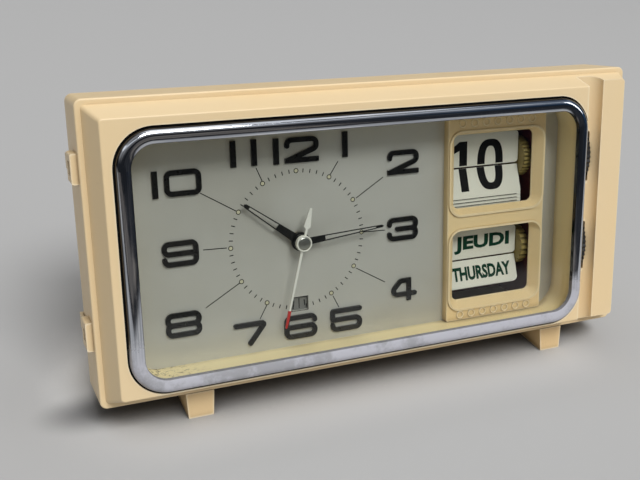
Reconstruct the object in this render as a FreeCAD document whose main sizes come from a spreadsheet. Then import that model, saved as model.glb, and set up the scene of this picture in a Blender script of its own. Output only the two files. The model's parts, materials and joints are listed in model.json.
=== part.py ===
"""Wind-up desk clock with a flip-leaf calendar, built as separate pieces.

The pieces are drawn in the case's own frame: X to the right, Y to the back and Z up,
with the origin at the middle of the front face plane. The whole clock then leans back
on its two front feet and on the rear lower edge of its cover.
"""
import FreeCAD, Part
import math
import os
import Sketcher
from FreeCAD import Placement, Rotation, Vector

# Driving sizes, in millimetres unless the name says otherwise
SIZES = [
    # Front case
    ("case_width", 250.0),
    ("case_height", 122.5),
    ("face_rise", 11.7),
    ("rim_depth", 24.6),
    ("rim_face", 2.3),
    ("bevel_inset", 4.3),
    ("rim_corner", 3.0),
    ("face_corner", 1.6),
    ("edge_round", 0.7),
    ("case_wall", 2.4),
    ("face_wall", 3.0),
    # Thumb-wheel channel and the bar beside it
    ("channel_left", 96.6),
    ("channel_width", 11.6),
    ("channel_depth", 9.4),
    ("channel_wall", 1.6),
    ("bar_setback", 4.8),
    # Bezel, glass and dial
    ("bezel_width", 210.4),
    ("bezel_height", 103.8),
    ("bezel_shift_x", -8.9),
    ("bezel_shift_z", -1.5),
    ("bezel_corner", 15.0),
    ("bezel_band", 5.7),
    ("bezel_crest", 2.4),
    ("bezel_lip", 1.9),
    ("bezel_gap", 0.8),
    ("seat_depth", 1.2),
    ("glass_inset", 2.5),
    ("glass_gap", 0.3),
    ("glass_thick", 1.8),
    ("glass_ledge", 0.9),
    ("dial_depth", 16.5),
    ("dial_thick", 0.6),
    ("surround_wall", 1.4),
    ("dial_x", -37.4),
    ("dial_z", -3.2),
    ("alarm_window_drop", 28.2),
    ("numeral_width", 15.0),
    ("numeral_height", 10.5),
    ("numeral_stroke", 2.1),
    ("numeral_thick", 1.0),
    # Calendar panel and its windows
    ("panel_left", 32.6),
    ("panel_width", 50.8),
    ("panel_rise", 3.8),
    ("frame_lip", 0.8),
    ("window_width", 41.4),
    ("window_height", 33.2),
    ("frame_border", 4.3),
    ("date_window_z", 18.7),
    ("day_window_z", -24.3),
    ("date_frame_z", 18.3),
    ("day_frame_z", -25.9),
    # Calendar drums and leaves
    ("drum_depth", 27.9),
    ("date_axis_z", 21.4),
    ("day_axis_z", -21.2),
    ("date_hinge_z", 19.4),
    ("day_hinge_z", -24.2),
    ("drum_radius", 9.6),
    ("core_radius", 2.0),
    ("leaf_width", 37.9),
    ("date_leaf_height", 14.3),
    ("day_leaf_height", 12.9),
    ("leaf_thick", 0.25),
    ("leaf_left", 38.2),
    ("date_leaf_drop", 1.5),
    ("day_leaf_drop", 0.1),
    ("leaf_lean_deg", 17.0),
    ("calendar_arbor_radius", 1.5),
    ("thumb_radius", 21.15),
    ("thumb_width", 6.1),
    ("thumb_left", 98.6),
    ("slot_side_gap", 0.6),
    ("slot_end_gap", 0.4),
    ("slot_edge", 0.6),
    ("calendar_plate", 1.4),
    ("calendar_back", 46.0),
    # Rear cover
    ("cover_depth", 39.7),
    ("cover_wall", 2.2),
    ("cover_side_inset", 8.0),
    ("cover_top_inset", 6.0),
    ("cover_low_inset", 1.2),
    ("cover_draft", 2.0),
    ("cover_corner", 9.0),
    ("cover_round", 4.0),
    ("flange_thick", 2.5),
    ("flange_inset", 0.5),
    ("lip_reach", 4.0),
    ("fit_gap", 0.3),
    # Feet and latches
    ("foot_height", 11.0),
    ("foot_width", 12.0),
    ("foot_taper", 0.65),
    ("foot_length", 21.0),
    ("foot_left_x", -84.4),
    ("foot_right_x", 90.0),
    ("latch_out", 2.7),
    ("latch_height", 11.8),
    ("latch_length", 9.6),
    ("latch_back", 2.9),
    ("latch_top_z", 35.0),
    ("latch_low_z", -31.5),
    ("tongue_thick", 1.0),
    # Movement
    ("front_plate_depth", 24.0),
    ("plate_thick", 1.2),
    ("plate_gap", 22.8),
    ("plate_half_width", 38.0),
    ("plate_top", 37.0),
    ("plate_bottom", 33.0),
    ("pillar_radius", 2.2),
    ("arbor_radius", 1.0),
    ("train_arbor", 0.6),
    ("running_gap", 0.06),
    ("wheel_thick", 1.2),
    # Hands
    ("hour_hand_depth", 13.4),
    ("minute_hand_depth", 11.5),
    ("second_hand_depth", 9.8),
    ("hour_hand_length", 30.0),
    ("minute_hand_length", 37.8),
    ("second_hand_length", 36.8),
    ("hand_thick", 0.5),
    ("hour_angle_deg", 307.0),
    ("minute_angle_deg", 85.6),
    ("second_angle_deg", 194.0),
    # Keys and knobs at the back
    ("key_length", 9.0),
    ("key_span", 24.0),
    ("knob_radius", 6.0),
    ("knob_length", 6.0),
    ("knob_stand", 1.6),
    ("key_boss", 7.0),
]


def formula(number):
    """The sheet formula of a size, or the number itself as text."""
    if isinstance(number, Size):
        return number.text
    return f"{float(number):.6f}"


class Size:
    """A length that knows its value and the sheet formula it is worked out by."""

    def __init__(self, value, text):
        self.value = float(value)
        self.text = text

    def __float__(self):
        return self.value

    def __add__(self, other):
        return Size(self.value + float(other), f"({self.text} + {formula(other)})")

    __radd__ = __add__

    def __sub__(self, other):
        return Size(self.value - float(other), f"({self.text} - {formula(other)})")

    def __rsub__(self, other):
        return Size(float(other) - self.value, f"({formula(other)} - {self.text})")

    def __mul__(self, factor):
        return Size(self.value * float(factor), f"({self.text} * {formula(factor)})")

    __rmul__ = __mul__

    def __truediv__(self, factor):
        return Size(self.value / float(factor), f"({self.text} / {formula(factor)})")

    def __neg__(self):
        return Size(-self.value, f"(-{self.text})")


class Sheet:
    """The sizes as named attributes."""


doc = FreeCAD.newDocument("calendar_clock")
sheet = doc.addObject("Spreadsheet::Sheet", "Sizes")
S = Sheet()
for row, (alias, number) in enumerate(SIZES, start=1):
    sheet.set(f"A{row}", alias)
    sheet.set(f"B{row}", str(number))
    sheet.setAlias(f"B{row}", alias)
    setattr(S, alias, Size(number, f"Sizes.{alias}"))
doc.recompute()

PIECES = []
X_AXIS = Rotation(Vector(0, 0, 1), -90)
UPRIGHT = Rotation()

# Sizes that follow from the driving ones
RIM_BACK = S.face_rise + S.rim_depth
COVER_BACK = RIM_BACK + S.cover_depth
CASE_BOTTOM = -S.case_height / 2
FACE_HALF_WIDTH = S.case_width / 2 - S.rim_face - S.bevel_inset
FACE_HALF_HEIGHT = S.case_height / 2 - S.rim_face - S.bevel_inset
CHANNEL_RIGHT = S.channel_left + S.channel_width
OPENING_INSET = S.glass_inset + S.glass_ledge
OPENING_WIDTH = S.bezel_width - 2 * OPENING_INSET
OPENING_HEIGHT = S.bezel_height - 2 * OPENING_INSET
OPENING_CORNER = S.bezel_corner - OPENING_INSET
COVER_LOW_Z = CASE_BOTTOM + S.cover_low_inset
DIAL_BACK = S.dial_depth + S.dial_thick
FRONT_PLATE_BACK = S.front_plate_depth + S.plate_thick
BACK_PLATE_FRONT = FRONT_PLATE_BACK + S.plate_gap
BACK_PLATE_BACK = BACK_PLATE_FRONT + S.plate_thick


def lean_of_case():
    """The angle, in degrees, between the case and the floor that it stands on.

    The floor touches the lower front edge of the feet and is tangent to the rounded
    lower edge at the back of the cover.
    """
    across = float(COVER_BACK - S.cover_round - S.face_rise)
    rise = float(COVER_LOW_Z + S.cover_round - CASE_BOTTOM + S.foot_height)
    reach = math.hypot(across, rise)
    return math.degrees(math.atan2(rise, across) - math.asin(float(S.cover_round) / reach))


def frame_of_case():
    """Placement that leans the case back and stands it on the floor at Z = 0."""
    lean = Rotation(Vector(1, 0, 0), -LEAN)
    toe = lean.multVec(Vector(0, float(S.face_rise), float(CASE_BOTTOM - S.foot_height)))
    front = lean.multVec(Vector(0, -float(S.bezel_crest), -FRONT_Z_LOW))
    back = lean.multVec(Vector(0, float(BACK_REACH), KEY_Z_HIGH))
    return Placement(Vector(0, -(front.y + back.y) / 2, -toe.z), lean)


def bind(piece, name, size):
    """Ties one property to a size, or sets a plain number."""
    if isinstance(size, Size):
        piece.setExpression(name, size.text)
    else:
        piece.setExpression(name, formula(size))


def new_body(label):
    body = doc.addObject("PartDesign::Body", label)
    body.Label = label
    return body


def seat(piece, x=0, y=0, z=0, turn=UPRIGHT):
    """Puts a finished piece at a point of the case and notes it for the export."""
    piece.Placement = CASE_FRAME.multiply(Placement(Vector(float(x), float(y), float(z)), turn))
    PIECES.append(piece)
    return piece


def origin_plane(body, role):
    for feature in body.Origin.OriginFeatures:
        if feature.Role == role:
            return feature


def new_sketch(body, role, x=0, y=0, z=0):
    sketch = body.newObject("Sketcher::SketchObject", "Sketch")
    sketch.AttachmentSupport = [(origin_plane(body, role), "")]
    sketch.MapMode = "FlatFace"
    for axis, size in zip("xyz", (x, y, z)):
        if isinstance(size, Size) or size:
            bind(sketch, f"AttachmentOffset.Base.{axis}", size)
    return sketch


def front_sketch(body, depth, x=0, z=0):
    """A sketch that faces the viewer at a depth behind the face plane, in X and Z."""
    return new_sketch(body, "XZ_Plane", x, z, -depth)


def add_block(sketch, width, height, corner):
    """A rectangle with round corners, centred on the sketch, tied to its sizes."""
    half_w = float(width) / 2
    half_h = float(height) / 2
    r = float(corner)
    first = len(sketch.Geometry)
    ends = [
        ((-half_w + r, -half_h), (half_w - r, -half_h)),
        ((half_w, -half_h + r), (half_w, half_h - r)),
        ((half_w - r, half_h), (-half_w + r, half_h)),
        ((-half_w, half_h - r), (-half_w, -half_h + r)),
    ]
    for start, end in ends:
        sketch.addGeometry(Part.LineSegment(Vector(*start, 0), Vector(*end, 0)))
    centres = [(half_w - r, -half_h + r), (half_w - r, half_h - r),
               (-half_w + r, half_h - r), (-half_w + r, -half_h + r)]
    for quarter, centre in enumerate(centres):
        circle = Part.Circle(Vector(*centre, 0), Vector(0, 0, 1), r)
        start = math.radians(-90 + 90 * quarter)
        sketch.addGeometry(Part.ArcOfCircle(circle, start, start + math.pi / 2))
    rules = []
    for side in range(4):
        arc = first + 4 + side
        rules.append(Sketcher.Constraint("Tangent", first + side, 2, arc, 1))
        rules.append(Sketcher.Constraint("Tangent", arc, 2, first + (side + 1) % 4, 1))
    for side in (0, 2):
        rules.append(Sketcher.Constraint("Horizontal", first + side))
        rules.append(Sketcher.Constraint("Vertical", first + side + 1))
    for side in range(3):
        rules.append(Sketcher.Constraint("Equal", first + 4 + side, first + 5 + side))
    rules.append(Sketcher.Constraint("Symmetric", first, 1, first + 2, 1, -1, 1))
    sketch.addConstraint(rules)
    for kind, places, size in (("Radius", (first + 4,), corner),
                               ("DistanceX", (first + 3, 2, first + 1, 1), width),
                               ("DistanceY", (first, 1, first + 2, 2), height)):
        index = sketch.addConstraint(Sketcher.Constraint(kind, *places, float(size)))
        bind(sketch, f"Constraints[{index}]", size)


def add_circle(sketch, radius, x=0.0, y=0.0):
    index = sketch.addGeometry(Part.Circle(Vector(float(x), float(y), 0), Vector(0, 0, 1), float(radius)))
    rule = sketch.addConstraint(Sketcher.Constraint("Radius", index, float(radius)))
    bind(sketch, f"Constraints[{rule}]", radius)


def add_outline(sketch, points):
    """A closed line through points."""
    corners = []
    for x, y in points:
        corner = Vector(float(x), float(y), 0)
        if not corners or (corner - corners[-1]).Length > 0.0001:
            corners.append(corner)
    for start, end in zip(corners, corners[1:] + corners[:1]):
        sketch.addGeometry(Part.LineSegment(start, end))


def add_rectangle(sketch, left, low, right, high):
    add_outline(sketch, [(left, low), (right, low), (right, high), (left, high)])


def pad(body, sketch, length, reverse=False, middle=False):
    feature = body.newObject("PartDesign::Pad", "Pad")
    feature.Profile = sketch
    bind(feature, "Length", length)
    feature.Reversed = reverse
    feature.Midplane = middle
    sketch.Visibility = False
    return feature


def pocket(body, sketch, length, reverse=False, middle=False):
    feature = body.newObject("PartDesign::Pocket", "Pocket")
    feature.Profile = sketch
    bind(feature, "Length", length)
    feature.Reversed = reverse
    feature.Midplane = middle
    sketch.Visibility = False
    return feature


def loft(body, kind, near, far):
    feature = body.newObject(f"PartDesign::{kind}Loft", "Loft")
    feature.Profile = near
    feature.Sections = [far]
    feature.Ruled = True
    return feature


def turned(body, profile):
    """A turned shape: the profile holds radius and length along the body's Y axis."""
    sketch = new_sketch(body, "XY_Plane")
    add_outline(sketch, profile)
    feature = body.newObject("PartDesign::Revolution", "Revolution")
    feature.Profile = sketch
    feature.ReferenceAxis = (sketch, ["V_Axis"])
    feature.Angle = 360
    return feature


def round_edges(body, radius, wanted):
    """Rounds the edges of the last feature that the test picks."""
    doc.recompute()
    base = body.Tip
    names = [f"Edge{i + 1}" for i, edge in enumerate(base.Shape.Edges) if wanted(edge)]
    feature = body.newObject("PartDesign::Fillet", "Fillet")
    feature.Base = (base, names)
    bind(feature, "Radius", radius)
    return feature


def edge_lies_at(edge, depth):
    """True for an edge that lies whole at one depth."""
    box = edge.BoundBox
    return abs(box.YMin - float(depth)) < 0.01 and abs(box.YMax - float(depth)) < 0.01


def slab(body, depth_front, depth_back, draw, x=0, z=0):
    """A plate between two depths; draw puts its outline in the sketch."""
    sketch = front_sketch(body, depth_back, x, z)
    draw(sketch)
    return pad(body, sketch, depth_back - depth_front)


def cut_slab(body, depth_front, depth_back, draw, x=0, z=0):
    """Cuts an outline through from one depth to another."""
    sketch = front_sketch(body, depth_front, x, z)
    draw(sketch)
    return pocket(body, sketch, depth_back - depth_front)


def disc(radius, bore=None):
    def draw(sketch):
        add_circle(sketch, radius)
        if bore is not None:
            add_circle(sketch, bore)
    return draw


def toothed(teeth, module, phase=0.0, bore=None, tip=0.70, root=1.15, land=0.10, foot=0.30):
    """Outline of a toothed wheel: straight-sided teeth, slimmer at the tip."""
    def draw(sketch):
        pitch_radius = teeth * module / 2
        step = 2 * math.pi / teeth
        points = []
        for tooth in range(teeth):
            middle = phase + tooth * step
            for share, radius in ((-foot / 2, pitch_radius - root * module),
                                  (-land / 2, pitch_radius + tip * module),
                                  (land / 2, pitch_radius + tip * module),
                                  (foot / 2, pitch_radius - root * module)):
                angle = middle + share * step
                points.append((radius * math.cos(angle), radius * math.sin(angle)))
        add_outline(sketch, points)
        if bore is not None:
            add_circle(sketch, bore)
    return draw


def rounded_stroke(points, corner, width, thick):
    """A solid stroke along points, with round corners and ends, thick along +Y.

    A point may carry its own corner radius as a third number.
    """
    if len(points) == 2:
        return straight_stroke(points, width, thick)
    edges = []
    here = Vector(points[0][0], 0, points[0][1])
    for i in range(1, len(points) - 1):
        radius = points[i][2] if len(points[i]) > 2 else corner
        knee = Vector(points[i][0], 0, points[i][1])
        after = Vector(points[i + 1][0], 0, points[i + 1][1])
        into = (knee - here).normalize()
        out = (after - knee).normalize()
        half_turn = into.getAngle(out) / 2
        back = radius * math.tan(half_turn)
        start = knee - into * back
        end = knee + out * back
        bow = knee + (out - into).normalize() * (radius / math.cos(half_turn) - radius)
        if (start - here).Length > 0.001:
            edges.append(Part.LineSegment(here, start).toShape())
        edges.append(Part.Arc(start, bow, end).toShape())
        here = end
    last = Vector(points[-1][0], 0, points[-1][1])
    if (last - here).Length > 0.001:
        edges.append(Part.LineSegment(here, last).toShape())
    face = Part.Wire(edges).makeOffset2D(width / 2, fill=False, openResult=False)
    if not isinstance(face, Part.Face):
        face = Part.Face(face.Wires[0])
    return face.extrude(Vector(0, thick, 0))


def straight_stroke(points, width, thick):
    """A bar with square ends between two points."""
    start, end = (Vector(point[0], 0, point[1]) for point in points)
    run = end - start
    bar = Part.makeBox(width, thick, run.Length + width, Vector(-width / 2, 0, -width / 2))
    bar.rotate(Vector(0, 0, 0), Vector(0, 1, 0), math.degrees(math.atan2(run.x, run.z)))
    bar.translate(start)
    return bar


# The case and what closes it


def front_case():
    body = new_body("front_case")
    slab(body, S.face_rise, RIM_BACK,
         lambda sk: add_block(sk, S.case_width, S.case_height, S.rim_corner))
    foot = front_sketch(body, S.face_rise)
    add_block(foot, S.case_width - 2 * S.rim_face, S.case_height - 2 * S.rim_face, S.face_corner)
    face = front_sketch(body, 0)
    add_block(face, 2 * FACE_HALF_WIDTH, 2 * FACE_HALF_HEIGHT, S.face_corner)
    loft(body, "Additive", foot, face)
    round_edges(body, S.edge_round, lambda edge: edge_lies_at(edge, 0))
    round_edges(body, S.edge_round, lambda edge: rim_edge(edge, S.face_rise))
    cut_channel(body)
    cut_inside(body)
    cut_dial_opening(body)
    cut_wheel_slots(body)
    add_latch_loops(body)
    for x, z in POSTS:
        slab(body, S.face_wall - 0.2, S.dial_depth - S.surround_wall,
             lambda sk: add_block(sk, 7.0, POST_THICK, 0.2), x=x, z=z)
    cut_post_holes(body, POST_SCREW + 0.02)
    return seat(body)


def rim_edge(edge, depth):
    """True for an edge of the rim's outer outline at a depth."""
    box = edge.BoundBox
    outside = max(abs(box.XMin), abs(box.XMax)) > float(S.case_width / 2 - S.rim_face / 2)
    beyond = max(abs(box.ZMin), abs(box.ZMax)) > float(S.case_height / 2 - S.rim_face / 2)
    return edge_lies_at(edge, depth) and (outside or beyond)


def cut_channel(body):
    """The thumb channel with its quarter-round wall, and the lower bar beside it."""
    bend = S.channel_depth - S.bar_setback
    sketch = new_sketch(body, "XY_Plane")
    left = float(S.channel_left)
    right = float(CHANNEL_RIGHT)
    floor = float(S.channel_depth)
    bar = float(S.bar_setback)
    ahead = -float(S.face_rise)
    beyond = float(S.case_width)
    corner = Vector(right - float(bend), floor, 0)
    quarter = Part.ArcOfCircle(Part.Circle(Vector(corner.x, bar, 0), Vector(0, 0, 1), float(bend)), 0, math.pi / 2)
    path = [(left, floor), (left, ahead), (beyond, ahead), (beyond, bar), (right, bar)]
    sketch.addGeometry(Part.LineSegment(corner, Vector(left, floor, 0)))
    for start, end in zip(path, path[1:]):
        sketch.addGeometry(Part.LineSegment(Vector(*start, 0), Vector(*end, 0)))
    sketch.addGeometry(quarter)
    pocket(body, sketch, 2 * S.case_height, middle=True)


def cut_inside(body):
    """Hollows the case and leaves its walls."""
    wall = S.case_wall
    behind_face = S.face_rise + wall
    cut_slab(body, behind_face, RIM_BACK + 1,
             lambda sk: add_block(sk, S.case_width - 2 * wall, S.case_height - 2 * wall, S.rim_corner))
    left = -(FACE_HALF_WIDTH - wall)
    right = S.channel_left - S.channel_wall
    height = 2 * (FACE_HALF_HEIGHT - wall)
    cut_slab(body, S.face_wall, behind_face,
             lambda sk: add_block(sk, right - left, height, S.face_corner), x=(left + right) / 2)
    channel_back = S.channel_depth + S.channel_wall
    far = FACE_HALF_WIDTH - wall
    cut_slab(body, channel_back, behind_face,
             lambda sk: add_block(sk, far - right + 1, height, S.face_corner), x=(right - 1 + far) / 2)
    near = CHANNEL_RIGHT + wall
    cut_slab(body, S.bar_setback + wall, channel_back,
             lambda sk: add_block(sk, far - near, height, S.face_corner), x=(near + far) / 2)


def cut_dial_opening(body):
    """The bezel's seat, the glass's seat and the opening for the dial."""
    def block(grow):
        return lambda sk: add_block(sk, S.bezel_width + 2 * grow, S.bezel_height + 2 * grow, S.bezel_corner + grow)
    centre = {"x": S.bezel_shift_x, "z": S.bezel_shift_z}
    glass_back = S.glass_thick + GLASS_FRONT
    cut_slab(body, 0, S.seat_depth, block(S.bezel_gap), **centre)
    cut_slab(body, 0, glass_back, block(S.glass_gap - S.glass_inset), **centre)
    cut_slab(body, 0, S.face_wall + 1, block(-OPENING_INSET), **centre)


def cut_wheel_slots(body):
    """Slots in the channel's floor for the thumb wheels, longer behind than in front."""
    width = S.thumb_width + 2 * S.slot_side_gap
    middle = S.channel_depth + S.slot_edge
    behind = S.channel_depth + S.channel_wall
    for axis_z in (S.date_axis_z, S.day_axis_z):
        for front, back in ((S.bar_setback, middle), (middle, behind + 1)):
            reach = float(S.drum_depth) - min(float(back), float(behind))
            half_chord = math.sqrt(float(S.thumb_radius) ** 2 - reach ** 2)
            height = 2 * half_chord + 2 * S.slot_end_gap
            cut_slab(body, front, back, lambda sk: add_block(sk, width, height, 0.6),
                     x=S.thumb_left + S.thumb_width / 2, z=axis_z)


def add_latch_loops(body):
    """Loops on both sides that the cover's tongues enter from behind."""
    gap_wide = S.tongue_thick + 2 * S.fit_gap
    front = S.face_rise + S.latch_back
    for side in (-1, 1):
        for middle_z in (S.latch_top_z, S.latch_low_z):
            outer = S.case_width / 2 + S.latch_out
            slab(body, front, front + S.latch_length,
                 lambda sk: add_block(sk, S.latch_out + 1, S.latch_height, 0.8),
                 x=side * (outer - S.latch_out / 2 - 0.5), z=middle_z)
            cut_slab(body, front + S.case_wall / 2, front + S.latch_length + 1,
                     lambda sk: add_block(sk, gap_wide, S.latch_height - 2 * S.case_wall, 0.2),
                     x=side * (S.case_width / 2 + gap_wide / 2), z=middle_z)
            skin = S.latch_out - gap_wide
            cut_slab(body, front + S.case_wall, front + S.latch_length - S.case_wall,
                     lambda sk: add_block(sk, 2 * (skin + 0.2), S.latch_height - 2.6 * S.case_wall, 0.2),
                     x=side * outer, z=middle_z)


def rear_cover():
    body = new_body("rear_cover")
    flange_back = RIM_BACK + S.flange_thick
    slab(body, RIM_BACK, flange_back,
         lambda sk: add_block(sk, S.case_width - 2 * S.flange_inset, S.case_height - 2 * S.flange_inset,
                              S.rim_corner))
    lip_loss = 2 * (S.case_wall + S.fit_gap)
    slab(body, RIM_BACK - S.lip_reach, RIM_BACK,
         lambda sk: add_block(sk, S.case_width - lip_loss, S.case_height - lip_loss, S.rim_corner))
    width = S.case_width - 2 * S.cover_side_inset
    top = S.case_height / 2 - S.cover_top_inset
    height = top - COVER_LOW_Z
    middle = (top + COVER_LOW_Z) / 2
    near = front_sketch(body, flange_back, z=middle)
    add_block(near, width, height, S.cover_corner)
    far = front_sketch(body, COVER_BACK, z=middle - S.cover_draft / 2)
    add_block(far, width - 2 * S.cover_draft, height - S.cover_draft, S.cover_corner)
    loft(body, "Additive", near, far)
    round_edges(body, S.cover_round, lambda edge: edge_lies_at(edge, COVER_BACK))
    lip_wall = 2 * S.cover_wall
    cut_slab(body, RIM_BACK - S.lip_reach - 1, RIM_BACK,
             lambda sk: add_block(sk, S.case_width - lip_loss - lip_wall, S.case_height - lip_loss - lip_wall,
                                  S.rim_corner))
    inner_near = front_sketch(body, RIM_BACK - 0.01, z=middle)
    add_block(inner_near, width - lip_wall, height - lip_wall, S.cover_corner - S.cover_wall)
    inner_far = front_sketch(body, COVER_BACK - S.cover_wall, z=middle - S.cover_draft / 2)
    add_block(inner_far, width - 2 * S.cover_draft - lip_wall, height - S.cover_draft - lip_wall,
              S.cover_corner - S.cover_wall)
    loft(body, "Subtractive", inner_near, inner_far)
    cut_cover_holes(body)
    add_tongues(body, flange_back)
    return seat(body)


def cut_cover_holes(body):
    """Holes for keys and knobs, and slots that let the bell be heard."""
    front = COVER_BACK - 2 * S.cover_wall
    for name, (x, z) in REAR_ARBORS.items():
        inside = KEY_ARBOR if name in ("time", "alarm") else float(S.arbor_radius)
        cut_slab(body, front, COVER_BACK + 1, disc(inside + 1.0), x=x, z=z)
    cut_slab(body, front, COVER_BACK + 1, disc(STOP_RADIUS + S.fit_gap), x=STOP_X, z=STOP_Z)
    for row in range(SOUND_SLOTS):
        cut_slab(body, front, COVER_BACK + 1,
                 lambda sk: add_block(sk, SOUND_SLOT_LENGTH, SOUND_SLOT_HEIGHT, SOUND_SLOT_HEIGHT / 2 - 0.05),
                 x=SOUND_X, z=SOUND_Z - row * SOUND_PITCH)
    cut_slab(body, front, COVER_BACK + 1,
             lambda sk: add_block(sk, REGULATOR_SLOT, 3.0, 1.4), x=BALANCE_X, z=BALANCE_Z)


def add_tongues(body, flange_back):
    """Tongues that reach forward from the flange into the case's latch loops."""
    tip = S.face_rise + S.latch_back + S.case_wall / 2 + S.fit_gap
    outer = S.case_width / 2 + S.fit_gap + S.tongue_thick
    width = S.latch_height - 2 * S.case_wall - 2 * S.fit_gap
    for side in (-1, 1):
        for middle_z in (S.latch_top_z, S.latch_low_z):
            slab(body, RIM_BACK + 0.2, flange_back,
                 lambda sk: add_block(sk, 6, width, 0.1), x=side * (outer - 3), z=middle_z)
            slab(body, tip, flange_back,
                 lambda sk: add_block(sk, S.tongue_thick, width, 0.1),
                 x=side * (outer - S.tongue_thick / 2), z=middle_z)


def front_foot(label, x):
    """A wedge foot: upright in front, with a sole that lies flat on the floor."""
    body = new_body(label)
    sole_rise = float(S.foot_length) * math.tan(math.radians(LEAN))
    top = float(CASE_BOTTOM)
    low = float(CASE_BOTTOM - S.foot_height)
    front = float(S.face_rise)
    back = float(S.face_rise + S.foot_length)
    sketch = new_sketch(body, "YZ_Plane")
    add_outline(sketch, [(front, low), (back - 2, low + sole_rise * (1 - 2 / float(S.foot_length))),
                         (back, low + sole_rise + 1.2), (back, top), (front, top)])
    pad(body, sketch, S.foot_width, middle=True)
    for side in (-1, 1):
        wedge = new_sketch(body, "XZ_Plane", 0, 0, 0)
        edge = side * float(S.foot_width) / 2
        narrow = edge - side * float(S.foot_taper)
        add_outline(wedge, [(edge, top + 0.01), (edge, low - 1), (narrow, low - 1), (narrow, low)])
        pocket(body, wedge, 4 * S.foot_length, middle=True)
    return seat(body, x=x)


def chrome_bezel():
    """A rounded chrome ring whose section is carried round the opening."""
    body = new_body("chrome_bezel")
    path = front_sketch(body, 0, x=S.bezel_shift_x, z=S.bezel_shift_z)
    add_block(path, S.bezel_width, S.bezel_height, S.bezel_corner)
    section = new_sketch(body, "XY_Plane", z=S.bezel_shift_z)
    outer = float(S.bezel_shift_x - S.bezel_width / 2)
    band = float(S.bezel_band)
    seat_y = float(S.seat_depth)
    crest = -float(S.bezel_crest)
    lip = -float(S.bezel_lip)
    flange = float(S.glass_inset)
    glass = float(GLASS_FRONT) - 0.1
    shoulder = -0.2
    low = Vector(outer, shoulder, 0)
    high = Vector(outer + band, lip, 0)
    over = Vector(outer + band * 0.52, crest, 0)
    near = Vector(outer + band * 0.12, shoulder + (crest - shoulder) * 0.62, 0)
    section.addGeometry(Part.Arc(low, near, over))
    section.addGeometry(Part.Arc(over, Vector(outer + band * 0.8, crest + (lip - crest) * 0.38, 0), high))
    points = [high, Vector(outer + band, glass, 0), Vector(outer + flange, glass, 0),
              Vector(outer + flange, seat_y, 0), Vector(outer, seat_y, 0), low]
    for start, end in zip(points, points[1:]):
        section.addGeometry(Part.LineSegment(start, end))
    feature = body.newObject("PartDesign::AdditivePipe", "Pipe")
    feature.Profile = section
    feature.Spine = (path, [])
    feature.Transition = "Right corner"
    path.Visibility = False
    return seat(body)


def glass():
    body = new_body("glass")
    loss = 2 * S.glass_inset
    slab(body, GLASS_FRONT, GLASS_FRONT + S.glass_thick,
         lambda sk: add_block(sk, S.bezel_width - loss, S.bezel_height - loss, S.bezel_corner - S.glass_inset),
         x=S.bezel_shift_x, z=S.bezel_shift_z)
    return seat(body)


def dial_surround():
    """The deep tray wall between the glass and the dial, with a flange behind."""
    body = new_body("dial_surround")
    centre = {"x": S.bezel_shift_x, "z": S.bezel_shift_z}
    wall = 2 * S.surround_wall
    slab(body, S.face_wall, S.dial_depth,
         lambda sk: add_block(sk, OPENING_WIDTH + wall, OPENING_HEIGHT + wall, OPENING_CORNER + S.surround_wall),
         **centre)
    slab(body, S.dial_depth - S.surround_wall, S.dial_depth,
         lambda sk: add_block(sk, OPENING_WIDTH + 3 * wall, OPENING_HEIGHT + 3 * wall,
                              OPENING_CORNER + 3 * S.surround_wall), **centre)
    cut_slab(body, 0, S.dial_depth + 1,
             lambda sk: add_block(sk, OPENING_WIDTH, OPENING_HEIGHT, OPENING_CORNER), **centre)
    cut_post_holes(body, POST_SCREW + 0.1)
    return seat(body)


def dial_plate():
    body = new_body("dial_plate")
    wall = 2 * S.surround_wall
    slab(body, S.dial_depth, DIAL_BACK,
         lambda sk: add_block(sk, OPENING_WIDTH + 3 * wall, OPENING_HEIGHT + 3 * wall,
                              OPENING_CORNER + 3 * S.surround_wall), x=S.bezel_shift_x, z=S.bezel_shift_z)
    top = S.date_window_z + S.window_height / 2 + S.frame_lip
    low = S.day_window_z - S.window_height / 2 - S.frame_lip
    cut_slab(body, 0, DIAL_BACK + 1,
             lambda sk: add_block(sk, S.window_width + 2 * S.frame_lip, top - low, 1.0),
             x=S.panel_left + S.panel_width / 2, z=(top + low) / 2)
    cut_slab(body, 0, DIAL_BACK + 1, disc(CANNON_RADIUS + 1.6), x=S.dial_x, z=S.dial_z)
    cut_slab(body, 0, DIAL_BACK + 1, lambda sk: add_block(sk, 7.2, 6.0, 0.3),
             x=S.dial_x, z=S.dial_z - S.alarm_window_drop)
    cut_post_holes(body, POST_SCREW + 0.1)
    return seat(body)


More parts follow.
